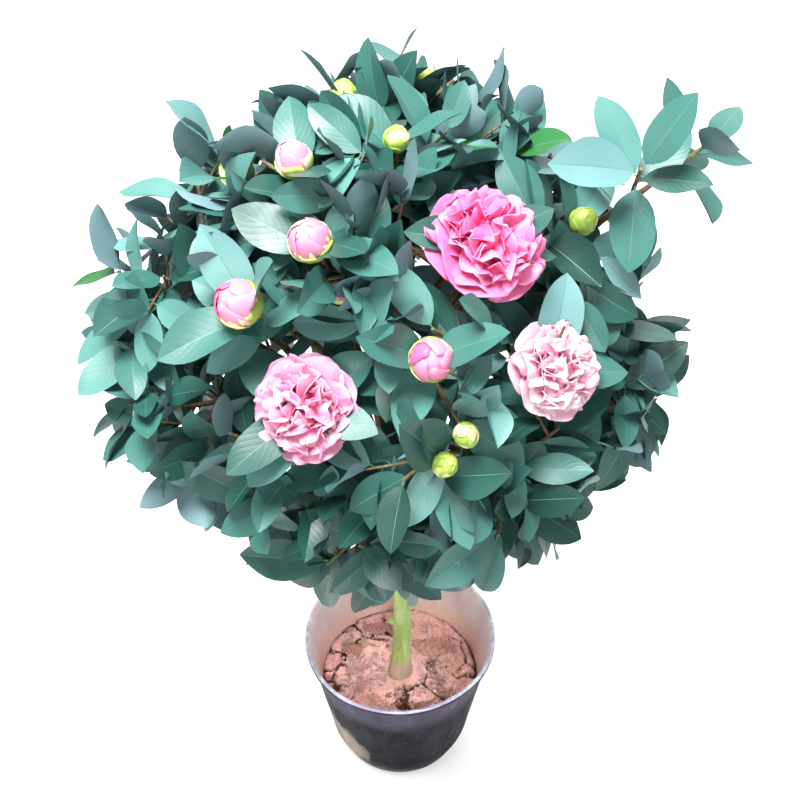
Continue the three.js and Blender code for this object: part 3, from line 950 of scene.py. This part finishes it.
twigShape = {"rings": 7, "sway": 0.012, "sunk": 0.0025, "knuckle": 0.22}
paths = []
for index, twig in enumerate(growth.twigs):
    roll = chance(700 + index)
    fine = "parent" in twig
    root = shoots["radius"] if fine else mass["stemRadius"] if twig["j"] == 0 else mass["twigRadius"]
    tip = shoots["tipRadius"] if fine else mass["tipRadius"]
    t = np.linspace(0, 1, twigShape["rings"])
    length = np.linalg.norm(twig["end"] - twig["foot"])
    side = square(twig["way"], 6.28 * roll())
    points = twig["foot"] + (twig["end"] - twig["foot"]) * t[:, None]
    points = points + side * (twigShape["sway"] * length * np.sin(math.pi * t) * (roll() - 0.5))[:, None]
    points[0] -= twig["way"] * twigShape["sunk"]
    swell = 1 + twigShape["knuckle"] * (np.arange(len(t)) % 2)
    paths.append((points, np.interp(t, (0, 1), (root, tip)) * swell))
twigMesh = tubes("twigs", paths, 1)
twigMesh.materials.append(boughFinish("twigBark", (0.075, 0.045, 0.028), (0.14, 0.09, 0.052), (0.24, 0.2, 0.11)))
addMesh("twigs", twigMesh, "foliage")


petalKeys = ("petals", "length", "width", "rise", "curl", "cup", "ruffle", "waves", "low")
# a bloom, in shares of its own size: its rings of petals from the outside in, then the ruffled groups in its middle
bloomShape = {
    "base": -0.26,
    "reach": 0.54,
    "rings": (
        (7, 0.55, 0.52, 22, -26, 0.14, 0.045, 1.3, 0.0),
        (7, 0.5, 0.46, 38, -40, 0.16, 0.05, 1.4, 0.03),
        (7, 0.45, 0.42, 54, -52, 0.18, 0.06, 1.5, 0.05),
        (6, 0.4, 0.38, 68, -58, 0.22, 0.07, 1.6, 0.07),
    ),
    "hearts": 4,
    "heartOut": 0.11,
    "heartTilt": 20,
    "heart": (7, 0.36, 0.3, 86, -58, 0.4, 0.07, 1.5, 0.08),
    "thick": 0.008,
    "sepals": (6, 0.25, 0.25, 8, 24, 0.1, 0, 1, -0.035),
    "ringOut": 0.02,
    "petalOut": 0.015,
    "petalSpread": 0.05,
    "soft": 0.9,
}


# half the width of a petal along its length, rounded at the tip
def petalWidth(t):
    if t < 0.6:
        return 0.16 + 0.84 * math.sin(0.5 * math.pi * t / 0.6)
    return math.sqrt(max(0.0, 1 - ((t - 0.6) / 0.43) ** 2))


# a petal lies outwards from the axis along x, thin at its rim; its place across and along goes to the UV map
def addPetal(bm, uv, petal, place, steps, lines, phase, kind):
    rise, curl = math.radians(petal["rise"]), math.radians(petal["curl"])
    length, width = petal["length"], petal["width"]
    rims = []
    for side in (1, -1):
        made = bmesh.ops.create_grid(bm, x_segments=steps, y_segments=lines, size=0.5)
        spots = {}
        for v in made["verts"]:
            t, s = 1 - (0.5 - v.co.x) ** 1.3, math.sin(math.pi * v.co.y)
            aside = s * petalWidth(t)
            reach = t - 0.07 * s * s * t * t - 0.04 * math.exp(-(s / 0.35) ** 2) * t**6
            bend = rise + curl * reach
            half = rise + curl * reach / 2
            x, z = length * reach * math.cos(half), length * reach * math.sin(half)
            wave = math.sin(petal["waves"] * math.pi * aside + phase) * (0.2 + 0.8 * t)
            wave += 0.8 * math.sin(6 * t + 2 * phase + (1.9 if s > 0 else 0)) * abs(aside) ** 1.5
            lift = petal["cup"] * aside * aside * width * 0.5 + petal["ruffle"] * t * wave
            if v.is_boundary:
                rims.append(v)
            else:
                lift += side * bloomShape["thick"] * 0.5
            y = aside * width * 0.5
            v.co = place @ Vector((x - lift * math.sin(bend), y, z + lift * math.cos(bend)))
            spots[v] = (0.5 + 0.5 * s, t)
        for face in facesOf(made):
            face.smooth = True
            face.material_index = kind
            for loop in face.loops:
                loop[uv].uv = spots[loop.vert]
            if side < 0:
                face.normal_flip()
    bmesh.ops.remove_doubles(bm, verts=rims, dist=1e-5)


def shift(x, z):
    return Matrix.Translation((x, 0, z))


def turned(angle):
    return Matrix.Rotation(angle, 4, "Z")


def bloomMesh(seed, tints):
    roll = chance(seed)
    bm = bmesh.new()
    uv = bm.loops.layers.uv.new("UVMap")
    base = bloomShape["base"]
    for n, row in enumerate(bloomShape["rings"]):
        ring = dict(zip(petalKeys, row))
        for i in range(ring["petals"]):
            turn = 2 * math.pi * (i + 0.5 * (n % 2) + 0.3 * (roll() - 0.5)) / ring["petals"]
            petal = dict(ring)
            petal["length"] *= 0.93 + 0.1 * roll()
            petal["width"] *= 0.85 + 0.3 * roll()
            petal["rise"] += 12 * (roll() - 0.5)
            place = shift(0, base + ring["low"]) @ turned(turn) @ shift(bloomShape["ringOut"], 0)
            addPetal(bm, uv, petal, place, 9, 10, 6.3 * roll(), int(roll() * tints))
    sepals = dict(zip(petalKeys, bloomShape["sepals"]))
    for i in range(sepals["petals"]):
        drop = base + sepals["low"] * (1 + 0.3 * (i % 2))
        turn = 2 * math.pi * (i + 0.3 * roll()) / sepals["petals"]
        addPetal(bm, uv, sepals, shift(0, drop) @ turned(turn), 5, 5, 0, 2)
    heart = dict(zip(petalKeys, bloomShape["heart"]))
    for n in range(bloomShape["hearts"]):
        turn = 2 * math.pi * (n + 0.35 * roll()) / bloomShape["hearts"]
        tilt = Matrix.Rotation(math.radians(bloomShape["heartTilt"] * (0.7 + 0.6 * roll())), 4, "Y")
        middle = turned(turn) @ shift(bloomShape["heartOut"], base) @ tilt
        for i in range(heart["petals"]):
            share = i / (heart["petals"] - 1)
            petal = dict(heart)
            petal["length"] *= 0.95 - 0.12 * share + 0.1 * roll()
            petal["width"] *= 0.75 + 0.4 * roll()
            petal["rise"] -= 22 * share + 8 * roll()
            petal["curl"] *= 0.5 + 0.8 * share
            out = bloomShape["petalOut"] + bloomShape["petalSpread"] * share
            spot = turned(i * goldenTurn + roll()) @ shift(out, heart["low"])
            addPetal(bm, uv, petal, middle @ spot, 8, 8, 6.3 * roll(), int(roll() * tints))
    soft = bloomShape["soft"]  # from this share of its reach on a bloom is pressed in
    for v in bm.verts:
        far = v.co.length / bloomShape["reach"]
        if far > soft:
            v.co *= (soft + 0.1 * math.tanh((far - soft) / 0.1)) / far
    return meshOf("bloom", bm)


# deep in the petal's foot, its body, its margin
petalTones = {
    "rose": ((0.6, 0.03, 0.05), (0.74, 0.1, 0.28), (0.82, 0.26, 0.46)),
    "roseDeep": ((0.54, 0.025, 0.07), (0.68, 0.065, 0.22), (0.78, 0.19, 0.39)),
    "pink": ((0.62, 0.06, 0.09), (0.71, 0.15, 0.3), (0.77, 0.31, 0.46)),
    "pinkSoft": ((0.64, 0.08, 0.12), (0.73, 0.21, 0.35), (0.78, 0.38, 0.51)),
    "blush": ((0.68, 0.14, 0.19), (0.79, 0.39, 0.49), (0.83, 0.59, 0.65)),
    "blushPink": ((0.66, 0.09, 0.16), (0.75, 0.27, 0.39), (0.81, 0.48, 0.57)),
}


def petalFinish(name, tones):
    soft = {"Subsurface_Weight": 0.25, "Subsurface_Radius": (0.006, 0.002, 0.003), "Subsurface_Scale": 0.6}
    made, tree, shader = newFinish("petal_" + name, tones[1], Roughness=0.55, Specular_IOR_Level=0.3, **soft)
    place = addNode(tree, "TexCoord").outputs["UV"]
    along = axisOf(tree, place, "Y")
    drawnOut = addNode(tree, "Mapping", {"Vector": place, "Scale": (22, 2.2, 1)}).outputs["Vector"]
    streaks = noiseOf(tree, drawnOut, 1, 3)
    share = maths(tree, "ADD", along, swing(tree, streaks, 0.45))
    plug(tree, shader, Base_Color=rampOf(tree, share, (0.12, tones[0]), (0.5, tones[1]), (0.95, tones[2])))
    relief(tree, shader, streaks, 0.0004, 0.5)
    return made


def budFinish(name, color, gloss, mottled):
    made, tree, shader = newFinish("bud_" + name, color, Specular_IOR_Level=0.4)
    grain = noiseOf(tree, placeOf(tree), 300, 4)
    plug(tree, shader, Roughness=rangeOf(tree, grain, 0.3, 0.7, (gloss - 0.08, gloss + 0.12)))
    relief(tree, shader, grain, mottled, 0.5)
    return made


def placeHead(form, head, spin):
    turn = turnTo(head["way"], spin) * head["size"]
    return head["at"] + form["co"] @ turn.T


# for each form the places and the finishes of its copies
def gather(placed, kinds):
    return [(np.array(p).reshape(len(p), -1, 3), np.array(k)) for p, k in zip(placed, kinds)]


heads = [twig["head"] for twig in mainTwigs if "head" in twig]
bloomTints = [(0, 1), (2, 3), (4, 5), (0, 2), (2, 1)]
petalFinishes = [petalFinish(name, tones) for name, tones in petalTones.items()]
petalFinishes.append(budFinish("sepal", (0.4, 0.5, 0.12), 0.45, 0.0003))
forms, copies = [], []
for n, head in enumerate(head for head in heads if head["kind"] == "B"):
    forms.append(readForm(bloomMesh(301 + 17 * n, 2)))
    copies.append((placeHead(forms[-1], head, 1.3 * n)[None], np.array([(*bloomTints[n], len(petalTones))])))
addMesh("blooms", joinForms("blooms", forms, copies, petalFinishes), "bloom")

# buds, in shares of their own size: a round heart, green scales round it, and on the pink ones wrapped petals
budShape = {
    "height": 1.16,
    "width": 0.94,
    "squareness": 0.62,
    "thick": 0.02,
    "rings": 9,
    "steps": 14,
    "petals": 5,
    "petal": {"low": 0.22, "high": 0.985, "spread": 56, "off": 0.045, "lap": 0.026, "lift": 0.012},
    "scale": {"spread": 46, "lap": 0.012, "lift": -0.015},
    # the rings of scales: how many, from and to which share of the bud, how far off it
    "pinkScales": ((5, 0.02, 0.48, 0.085), (5, 0.02, 0.68, 0.062)),
    "greenScales": ((4, 0.02, 0.42, 0.075), (5, 0.04, 0.72, 0.05), (5, 0.1, 0.95, 0.03)),
    "longerScales": 0.16,
}


def budRadius(share):
    return 0.5 * budShape["width"] * math.sin(math.pi * min(1, max(0, share)) ** 0.92) ** budShape["squareness"]


# a patch that lies on the bud from share low to share high, as wide as an angle
def addScale(bm, scale, turn, kind):
    made = bmesh.ops.create_grid(bm, x_segments=5, y_segments=4, size=0.5)
    for v in made["verts"]:
        t, s = v.co.x + 0.5, 2 * v.co.y
        share = scale["low"] + (scale["high"] - scale["low"]) * (t - 0.12 * s * s * t)
        angle = turn + math.radians(scale["spread"]) * s * math.sin(math.pi * (0.2 + 0.62 * t)) ** 0.6
        off = scale["off"] + scale["lap"] * s + scale["lift"] * t**3
        r = budRadius(share) + off
        v.co = (r * math.cos(angle), r * math.sin(angle), budShape["height"] * (share - 0.5) + 0.25 * off * t)
    smoothFaces(facesOf(made), kind)


def budForm(seed, pink):
    roll = chance(seed)
    bm = bmesh.new()
    bm.loops.layers.uv.new("UVMap")
    rings = budShape["rings"]
    profile = [(budRadius(i / rings), budShape["height"] * (i / rings - 0.5)) for i in range(rings + 1)]
    turnProfile(bm, profile, budShape["steps"], 1e-4)
    bmesh.ops.recalc_face_normals(bm, faces=bm.faces)
    smoothFaces(bm.faces, 3 if pink else 1)
    core = set(bm.faces)
    for i in range(budShape["petals"] if pink else 0):
        petal = {**budShape["petal"], "high": budShape["petal"]["high"] - 0.02 * roll()}
        turn = 2 * math.pi * (i + 0.3 * roll()) / budShape["petals"]
        addScale(bm, petal, turn, 2 + (i + int(2 * roll())) % 2)
    longer = budShape["longerScales"] * roll() if pink else 0
    for n, (count, low, high, off) in enumerate(budShape["pinkScales" if pink else "greenScales"]):
        high += 0 if n else longer
        for i in range(count):
            scale = {**budShape["scale"], "low": low, "high": high - 0.05 * roll(), "off": off}
            turn = 2 * math.pi * (i + 0.5 * n + 0.25 * roll()) / count
            addScale(bm, scale, turn, int(2 * roll()))
    shells = [face for face in bm.faces if face not in core]
    bmesh.ops.recalc_face_normals(bm, faces=shells)
    bmesh.ops.solidify(bm, geom=shells, thickness=budShape["thick"])
    bmesh.ops.recalc_face_normals(bm, faces=bm.faces)
    return meshOf("budForm", bm)


budTones = {
    "scale": (0.46, 0.53, 0.13),
    "scalePale": (0.66, 0.68, 0.3),
    "scaleGreen": (0.27, 0.4, 0.06),
    "petal": (0.74, 0.23, 0.37),
    "petalPale": (0.8, 0.42, 0.53),
    "petalDeep": (0.68, 0.11, 0.26),
}
budFinishes = [budFinish(name, color, 0.45, 0.0003) for name, color in budTones.items()]
budForms = [readForm(budForm(411 + 7 * n, n < 3)) for n in range(6)]
placed = [[] for _ in budForms]
kinds = [[] for _ in budForms]
roll = chance(55)
for head in heads:
    if head["kind"] == "B":
        continue
    n = int(3 * roll()) + (0 if head["kind"] == "P" else 3)
    placed[n].append(placeHead(budForms[n], head, 6.28 * roll()))
    green = ((0, 1), (1, 2), (0, 2), (2, 0))[int(4 * roll())]
    kinds[n].append((*green, *((3, 4), (4, 3), (5, 3))[int(3 * roll())]))
addMesh("buds", joinForms("buds", budForms, gather(placed, kinds), budFinishes), "bud")


# the pot: a thin moulded shell with a rolled lip
pot = {
    "rim": 0.12,
    "height": 0.21,
    "wall": 0.002,
    "lipDrop": 0.009,
    "lipOut": 0.0035,
    "waist": 0.093,
    "waistHeight": 0.052,
    "foot": 0.074,
    "footRound": 0.014,
    "flat": 0.066,
    "curve": 1.6,
    "floor": 0.003,
    "innerRound": 0.011,
    # points of the lip: how far in from the rim, then how far above its lower edge or below the top
    "lipLow": ((0.0013, 0), (0.0002, 0.0011), (0, 0.0036), (0.0009, 0.0045), (0.0009, 0.0052)),
    "lipHigh": ((0.0002, 0.0024), (0.0009, 0.0006), (0.002, 0), (0.0036, 0.0004), (0.0047, 0.0016)),
    "steps": 96,
    "wobble": 0.0009,
}
soil = {"top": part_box("soil")[1].z}


def potRadius(z):
    slope = (pot["rim"] - pot["lipOut"] - pot["waist"]) / (pot["height"] - pot["waistHeight"])
    if z >= pot["waistHeight"]:
        return pot["waist"] + (z - pot["waistHeight"]) * slope
    share = (pot["waistHeight"] - z) / pot["waistHeight"]
    return pot["waist"] - (pot["waist"] - pot["foot"]) * share ** pot["curve"]


def potProfile():
    underLip = pot["height"] - pot["lipDrop"]
    walls = [*np.linspace(pot["footRound"], pot["waistHeight"], 8), *np.linspace(0.06, underLip - 0.0035, 14)]
    bends = [(1 - math.cos(a), math.sin(a)) for a in (math.pi / 8, math.pi / 4, 3 * math.pi / 8)]
    foot = potRadius(pot["footRound"]) - pot["flat"]
    outer = [(0, 0.0012), (0.05, 0.0012), (0.0525, 0.0), (pot["flat"], 0.0)]
    outer += [(pot["flat"] + foot * out, pot["footRound"] * rise) for rise, out in bends]
    outer += [(potRadius(z), z) for z in walls]
    wall = potRadius(underLip)
    lip = [(wall, underLip - 0.002), (wall + 0.0008, underLip - 0.0004)]
    lip += [(pot["rim"] - back, underLip + above) for back, above in pot["lipLow"]]
    lip += [(pot["rim"] - back, pot["height"] - below) for back, below in pot["lipHigh"]]
    inner = [(potRadius(z) - pot["wall"], z) for z in reversed(walls)]
    for rise, out in reversed(bends):
        inner.append((pot["flat"] + (foot - pot["wall"]) * out, pot["floor"] + pot["innerRound"] * rise))
    return outer + lip + inner + [(pot["flat"] - pot["wall"], pot["floor"]), (0, pot["floor"])]


def potShell():
    bm = bmesh.new()
    turnProfile(bm, potProfile(), pot["steps"], 1e-5)
    bmesh.ops.recalc_face_normals(bm, faces=bm.faces)
    for face in bm.faces:
        face.smooth = True
        middle = face.calc_center_median()
        inward = face.normal.x * middle.x + face.normal.y * middle.y < 0
        inside = inward or (face.normal.z > 0.6 and middle.z < 0.1)
        # the faces along the very top take the lip finish, whose pale tone is partly a painted highlight
        face.material_index = 2 if middle.z > pot["height"] - 0.0022 else int(inside)
    for edge in bm.edges:
        edge.smooth = edge.calc_face_angle(0) < 0.7
    for v in bm.verts:
        angle = math.atan2(v.co.y, v.co.x)
        share = v.co.z / pot["height"]
        bulge = math.sin(2 * angle + 0.6) + 0.6 * math.sin(3 * angle + 2) + 0.35 * math.sin(7 * angle + 5 * share)
        out = 1 + pot["wobble"] * share**2 * bulge / pot["rim"]
        v.co.x *= out
        v.co.y *= out
        v.co.z += 0.0005 * share**3 * math.sin(3 * angle)
    return bm


def potFinish(name, tone):
    made, tree, shader = newFinish(name, Specular_IOR_Level=0.06 if tone == "outside" else 0.4)
    place = placeOf(tree)
    height = axisOf(tree, place, "Z")
    cloudy = noiseOf(tree, place, 22, 5, 0.6)
    fine = noiseOf(tree, place, 240, 5, 0.7)
    smear = noiseOf(tree, placeOf(tree, 34, 34, 12), 1, 5, 0.65)
    level = maths(tree, "ADD", height, swing(tree, cloudy, 0.022))
    if tone == "outside":
        darks = (0.3, (0.002, 0.0016, 0.004)), (0.52, (0.004, 0.0032, 0.008)), (0.75, (0.011, 0.009, 0.018))
        lights = (0.35, (0.028, 0.024, 0.04)), (0.55, (0.058, 0.05, 0.075)), (0.75, (0.15, 0.13, 0.17))
        dark, light = rampOf(tree, cloudy, *darks), rampOf(tree, smear, *lights)
        # painted light: above the soil line the dark wall turns to a lighter band, for light shining through the
        # thin plastic where no soil stands behind it
        color = mixOf(tree, rangeOf(tree, level, soil["top"] + 0.016, soil["top"] + 0.042), dark, light)
        # pale specks: partly frosted scuffs in the plastic, partly painted glints
        color = mixOf(tree, maths(tree, "MULTIPLY", rangeOf(tree, fine, 0.62, 0.7), 0.28), color, (0.36, 0.34, 0.38))
        # a beige colour, laid as a patch low on the left side and as a band at the foot: the band is dried mud, the
        # patch partly mud and partly painted light shining through the thin wall
        mudAndPaintedLight = rampOf(tree, smear, (0.35, (0.15, 0.12, 0.1)), (0.62, (0.47, 0.39, 0.32)))
        spot = addNode(tree, "Mapping", {"Vector": place, "Location": (0.08, 0.052, -0.055)}).outputs["Vector"]
        far = addNode(tree, "VectorMath", {0: spot}, operation="LENGTH").outputs["Value"]
        far = maths(tree, "ADD", far, swing(tree, smear, 0.09))
        color = mixOf(tree, rangeOf(tree, far, 0.05, 0.034), color, mudAndPaintedLight)
        low = maths(tree, "ADD", height, swing(tree, smear, 0.05))
        color = mixOf(tree, rangeOf(tree, low, 0.02, 0.0, (0.0, 0.75)), color, mudAndPaintedLight)
    elif tone == "inside":
        # the pale inner wall above the soil is partly the plastic's own pale tone and partly painted light coming
        # through the thin wall; near the soil it takes on soil dust
        light = rampOf(tree, smear, (0.3, (0.66, 0.53, 0.53)), (0.6, (0.8, 0.7, 0.7)), (0.8, (0.9, 0.84, 0.86)))
        dusty = rampOf(tree, fine, (0.3, (0.72, 0.44, 0.37)), (0.7, (0.9, 0.66, 0.58)))
        color = mixOf(tree, rangeOf(tree, level, soil["top"] + 0.045, soil["top"] + 0.012), light, dusty)
        specks = maths(tree, "MULTIPLY", rangeOf(tree, fine, 0.64, 0.7), rangeOf(tree, level, 0.2, 0.15))
        color = mixOf(tree, specks, color, (0.3, 0.15, 0.1))
    else:
        # the top edge of the lip: its pale tone is partly the plastic's own whitish colour and partly a painted
        # highlight along the edge
        color = rampOf(tree, smear, (0.35, (0.3, 0.28, 0.38)), (0.5, (0.48, 0.45, 0.56)), (0.65, (0.8, 0.76, 0.82)))
        color = mixOf(tree, rangeOf(tree, fine, 0.62, 0.7), color, (0.6, 0.42, 0.36))
    plug(tree, shader, Base_Color=color, Roughness=rangeOf(tree, smear, 0.3, 0.7, (0.38, 0.65)))
    relief(tree, shader, maths(tree, "ADD", fine, smear), 0.0004, 0.5)
    return made


potFinishes = [potFinish("pot_" + tone, tone) for tone in ("outside", "inside", "lip")]
addMesh("potShell", meshOf("potShell", potShell(), *potFinishes), "pot", "pot")


# the soil: a disc that fills the pot, cracked and crumbly on top
soilShape = {
    "rings": 60,
    "steps": 180,
    "gap": 0.0006,
    "rough": 0.004,
    "grit": 0.0015,
    "warp": 0.011,
    "crackDepth": 0.005,
    "crackScale": 26.0,
    "crackWidth": 0.075,
    "trunkRoom": 0.017,
    "trunkFade": 0.012,
    "edgeFade": 0.0055,
    "edgeDrop": 0.0045,
    "sunk": 0.0002,
    "chips": 90,
}


def soilRadius(z):
    return potRadius(z) - pot["wall"] - soilShape["gap"]


soilEdge = soilRadius(soil["top"])


def soilHeight(x, y):
    r = math.hypot(x, y)
    flat = min(1, max(0, (r - soilShape["trunkRoom"]) / soilShape["trunkFade"]))
    place = Vector((x * 30, y * 30, 0.4))
    height = soilShape["rough"] * (noise.fractal(place, 1.0, 2.1, 5) * 0.8 - 0.25)
    height += soilShape["grit"] * noise.noise(Vector((x * 230, y * 230, 3)))
    wide = place * 1.7
    warp = Vector((noise.noise(wide), noise.noise(wide + Vector((9, 4, 1))), 0)) * soilShape["warp"]
    spread, _ = noise.voronoi(Vector((x, y, 0)) * soilShape["crackScale"] + warp * soilShape["crackScale"])
    crack = max(0, 1 - (spread[1] - spread[0]) / soilShape["crackWidth"])
    plate = noise.noise(Vector((x * 14 + 7, y * 14, 2)))
    height -= soilShape["crackDepth"] * crack**0.7 * min(1, max(0, 0.75 + 1.4 * plate))
    rim = max(0, 1 - (soilEdge - r) / soilShape["edgeFade"])
    return height * flat - soilShape["edgeDrop"] * rim * (0.6 + plate) - soilShape["sunk"]


def soilBody():
    low = pot["floor"] + 0.0004
    bm = bmesh.new()
    places = [(soilEdge * i / soilShape["rings"], soil["top"]) for i in range(soilShape["rings"] + 1)]
    places += [(soilRadius(z), z) for z in (0.1, 0.07, pot["waistHeight"], 0.033, pot["footRound"] + 0.001)]
    places += [(pot["flat"] - pot["wall"] - 0.001, low), (0, low)]
    turnProfile(bm, places, soilShape["steps"], 1e-6)
    for v in bm.verts:
        if v.co.z > soil["top"] - 0.0001:
            v.co.z += soilHeight(v.co.x, v.co.y)
    bmesh.ops.recalc_face_normals(bm, faces=bm.faces)
    smoothFaces(bm.faces)
    return bm


def soilFinish(name, dark, body, pale):
    made, tree, shader = newFinish(name, Roughness=0.95, Specular_IOR_Level=0.15)
    place = placeOf(tree)
    wide = noiseOf(tree, place, 24, 6, 0.62)
    fine = noiseOf(tree, place, 330, 6, 0.7)
    cells = addNode(tree, "TexVoronoi", {"Vector": place, "Scale": 260.0}).outputs["Distance"]
    tone = maths(tree, "ADD", maths(tree, "MULTIPLY", wide, 0.55), maths(tree, "MULTIPLY", fine, 0.45))
    color = rampOf(tree, tone, (0.36, dark), (0.5, body), (0.64, pale))
    height = axisOf(tree, place, "Z")
    # painted shade: below the soil's top, in its cracks and pits and where it dips at the wall, the clay is painted
    # near black
    deep = rangeOf(tree, height, soil["top"] - 0.0016, soil["top"] - 0.0048)
    plug(tree, shader, Base_Color=mixOf(tree, deep, color, (0.085, 0.035, 0.022)))
    relief(tree, shader, maths(tree, "ADD", fine, maths(tree, "MULTIPLY", cells, 0.5)), 0.0012, 0.9)
    return made


clay = soilFinish("soilClay", (0.5, 0.22, 0.19), (0.85, 0.49, 0.43), (0.95, 0.71, 0.64))
addMesh("soilBody", meshOf("soilBody", soilBody(), clay), "soil", "soil")

# loose crumbs of the same clay, flat chips of dry bark and curled scraps of dead leaves
scrapTones = {
    "crumb": (0.7, 0.38, 0.31),
    "crumbPale": (0.85, 0.58, 0.5),
    "crumbDark": (0.36, 0.17, 0.13),
    "chip": (0.52, 0.31, 0.27),
    "chipPale": (0.68, 0.46, 0.42),
    "deadLeaf": (0.5, 0.25, 0.2),
}


def scrapFinish(name, color):
    made, tree, shader = newFinish(name, color, Roughness=0.9, Specular_IOR_Level=0.15)
    relief(tree, shader, noiseOf(tree, placeOf(tree), 600, 5), 0.0005, 0.8)
    return made


def crumbForm(seed):
    bm = bmesh.new()
    bmesh.ops.create_icosphere(bm, subdivisions=1, radius=0.5)
    for v in bm.verts:
        v.co *= 1 + 0.55 * noise.noise(v.co * 2.3 + Vector((seed, 0, 0)))
    bm.loops.layers.uv.new("UVMap")
    return readForm(meshOf("crumb", bm))


# a thin curled plate, along x from -0.5 to 0.5
def chipForm(width, curl, thick, pointed):
    bm = bmesh.new()
    bmesh.ops.create_grid(bm, x_segments=26 if pointed else 6, y_segments=6 if pointed else 3, size=0.5)
    for v in bm.verts:
        t, s = v.co.x + 0.5, 2 * v.co.y
        slim = math.sin(math.pi * (0.06 + 0.88 * t)) if pointed else 1 - 0.2 * math.sin(9 * t)
        height = curl * (t - 0.5) ** 2 + 0.6 * curl * s * s * width
        if pointed:
            height += 0.035 * math.sin(42 * t - 9 * abs(s)) * min(1, 3 * abs(s)) + 0.05 * math.sin(5 * t + 3 * s)
            slim *= 1 + 0.06 * math.sin(90 * t)
        v.co = (v.co.x, s * width * 0.5 * slim, height)
    for face in bm.faces:
        face.smooth = True
        t, s = face.calc_center_median().x + 0.5, abs(face.calc_center_median().y) / width * 2
        face.material_index = int(pointed and math.sin(42 * t - 9 * s) < -0.45)
    bm.loops.layers.uv.new("UVMap")
    bmesh.ops.recalc_face_normals(bm, faces=bm.faces)
    bmesh.ops.solidify(bm, geom=bm.faces[:], thickness=thick)
    bmesh.ops.recalc_face_normals(bm, faces=bm.faces)
    return readForm(meshOf("chip", bm))


# handfuls of crumbs: how many, then angle, distance and size, each from its least by how much more,
# and the powers that the draws of distance and size are raised to
crumbRows = (
    (520, 0, 6.28, 0.022, soilEdge - 0.028, 0.6, 0.0014, 0.0042, 4),
    (150, 4.2, 1.5, 0.03, 0.055, 1, 0.0016, 0.004, 3),
)
deadLeaves = ((0.046, 0.026, 0.062), (0.03, -0.058, 0.026), (-0.03, 0.064, 0.04), (-0.062, 0.03, 0.032))


def scatterScraps():
    forms = [crumbForm(n) for n in range(4)]
    forms += [chipForm(0.2, 0.4, 0.035, False), chipForm(0.34, 0.7, 0.03, False), chipForm(0.5, 0.3, 0.012, True)]
    placed, kinds = [[] for _ in forms], [[] for _ in forms]
    roll = chance(2026)

    def drop(n, x, y, size, tone, level, lift):
        z = soil["top"] + soilHeight(x, y) + lift * size
        lean = Matrix.Rotation((roll() - 0.5) * level, 3, "X") @ Matrix.Rotation((roll() - 0.5) * level, 3, "Y")
        turn = np.array(Matrix.Rotation(6.28 * roll(), 3, "Z") @ lean) * size
        placed[n].append(np.array((x, y, z)) + forms[n]["co"] @ turn.T)
        kinds[n].append((tone, 2))

    for count, turn, turnMore, near, far, nearness, least, most, smallness in crumbRows:
        for _ in range(count):
            angle, r = turn + turnMore * roll(), near + far * roll() ** nearness
            size = least + most * roll() ** smallness
            drop(int(4 * roll()), r * math.cos(angle), r * math.sin(angle), size, int(3 * roll()), 6, 0.25)
    for i in range(soilShape["chips"]):
        heap = i % 3 < 2
        x = -0.043 + 0.05 * (roll() - 0.5) if heap else 0.15 * (roll() - 0.5)
        y = -0.006 + 0.055 * (roll() - 0.5) if heap else 0.15 * (roll() - 0.5)
        if 0.024 < math.hypot(x, y) < soilEdge - 0.014:
            size = 0.008 + 0.018 * roll() ** 1.5
            drop(4 + int(2 * roll()), x, y, size, 3 + int(2 * roll()), 0.9, 0.09)
    for x, y, size in deadLeaves:
        drop(6, x, y, size, 5, 0.4, 0.14)
    finishes = [scrapFinish(*tone) for tone in scrapTones.items()]
    return joinForms("soilScraps", forms, gather(placed, kinds), finishes)


addMesh("soilScraps", scatterScraps(), "soil")

glow = {"Emission_Color": (1, 1, 1, 1), "Emission_Strength": 0.35}
bm = bmesh.new()
bmesh.ops.create_grid(bm, x_segments=1, y_segments=1, size=6)
floorFinish, _, _ = newFinish("paleFloor", (0.72, 0.72, 0.72), Roughness=0.9, **glow)
floor = addObject("floor", meshOf("floor", bm, floorFinish))

lens = bpy.data.cameras.new("camera")
lens.lens = 54
viewer = addObject("camera", lens)
viewer.location = (0, -0.92, 1.459)
viewer.rotation_euler = (math.radians(47.3), 0, 0)
scene.camera = viewer

# the lamps: place, what each looks at, its width, power and the spread of its beam in degrees
light = {
    "sky": (0.93, 0.97, 1.0),
    "skyStrength": 0.45,
    "lamps": (
        ("overhead", (-0.35, -0.45, 2.7), (0, 0, 0.6), 0.9, 134, 180),
        ("front", (0.3, -2.3, 1.6), (0, 0, 0.5), 0.8, 22, 180),
        ("low", (0.06, -0.98, 1.36), (0, 0.02, 0.09), 0.12, 0.085, 9),
        ("back", (0.4, 2.6, 2.6), (0, 0.6, 0.2), 2.2, 75, 180),
        ("left", (-1.9, -0.9, 1.5), (0, 0, 0.6), 1.4, 8, 180),
        ("right", (1.8, 0.9, 1.7), (0, 0, 0.6), 1.4, 8, 180),
    ),
}
world = bpy.data.worlds.new("studio")
scene.world = world
world.use_nodes = True
sky = world.node_tree.nodes["Background"].inputs
sky["Color"].default_value = (*light["sky"], 1)
sky["Strength"].default_value = light["skyStrength"]
for name, place, aim, size, power, spread in light["lamps"]:
    lamp = bpy.data.lights.new(name, "AREA")
    lamp.size = size
    lamp.energy = power
    lamp.spread = math.radians(spread)
    holder = addObject(name, lamp)
    holder.location = place
    holder.rotation_euler = (Vector(aim) - Vector(place)).to_track_quat("-Z", "Y").to_euler()
scene.view_settings.view_transform = "Standard"
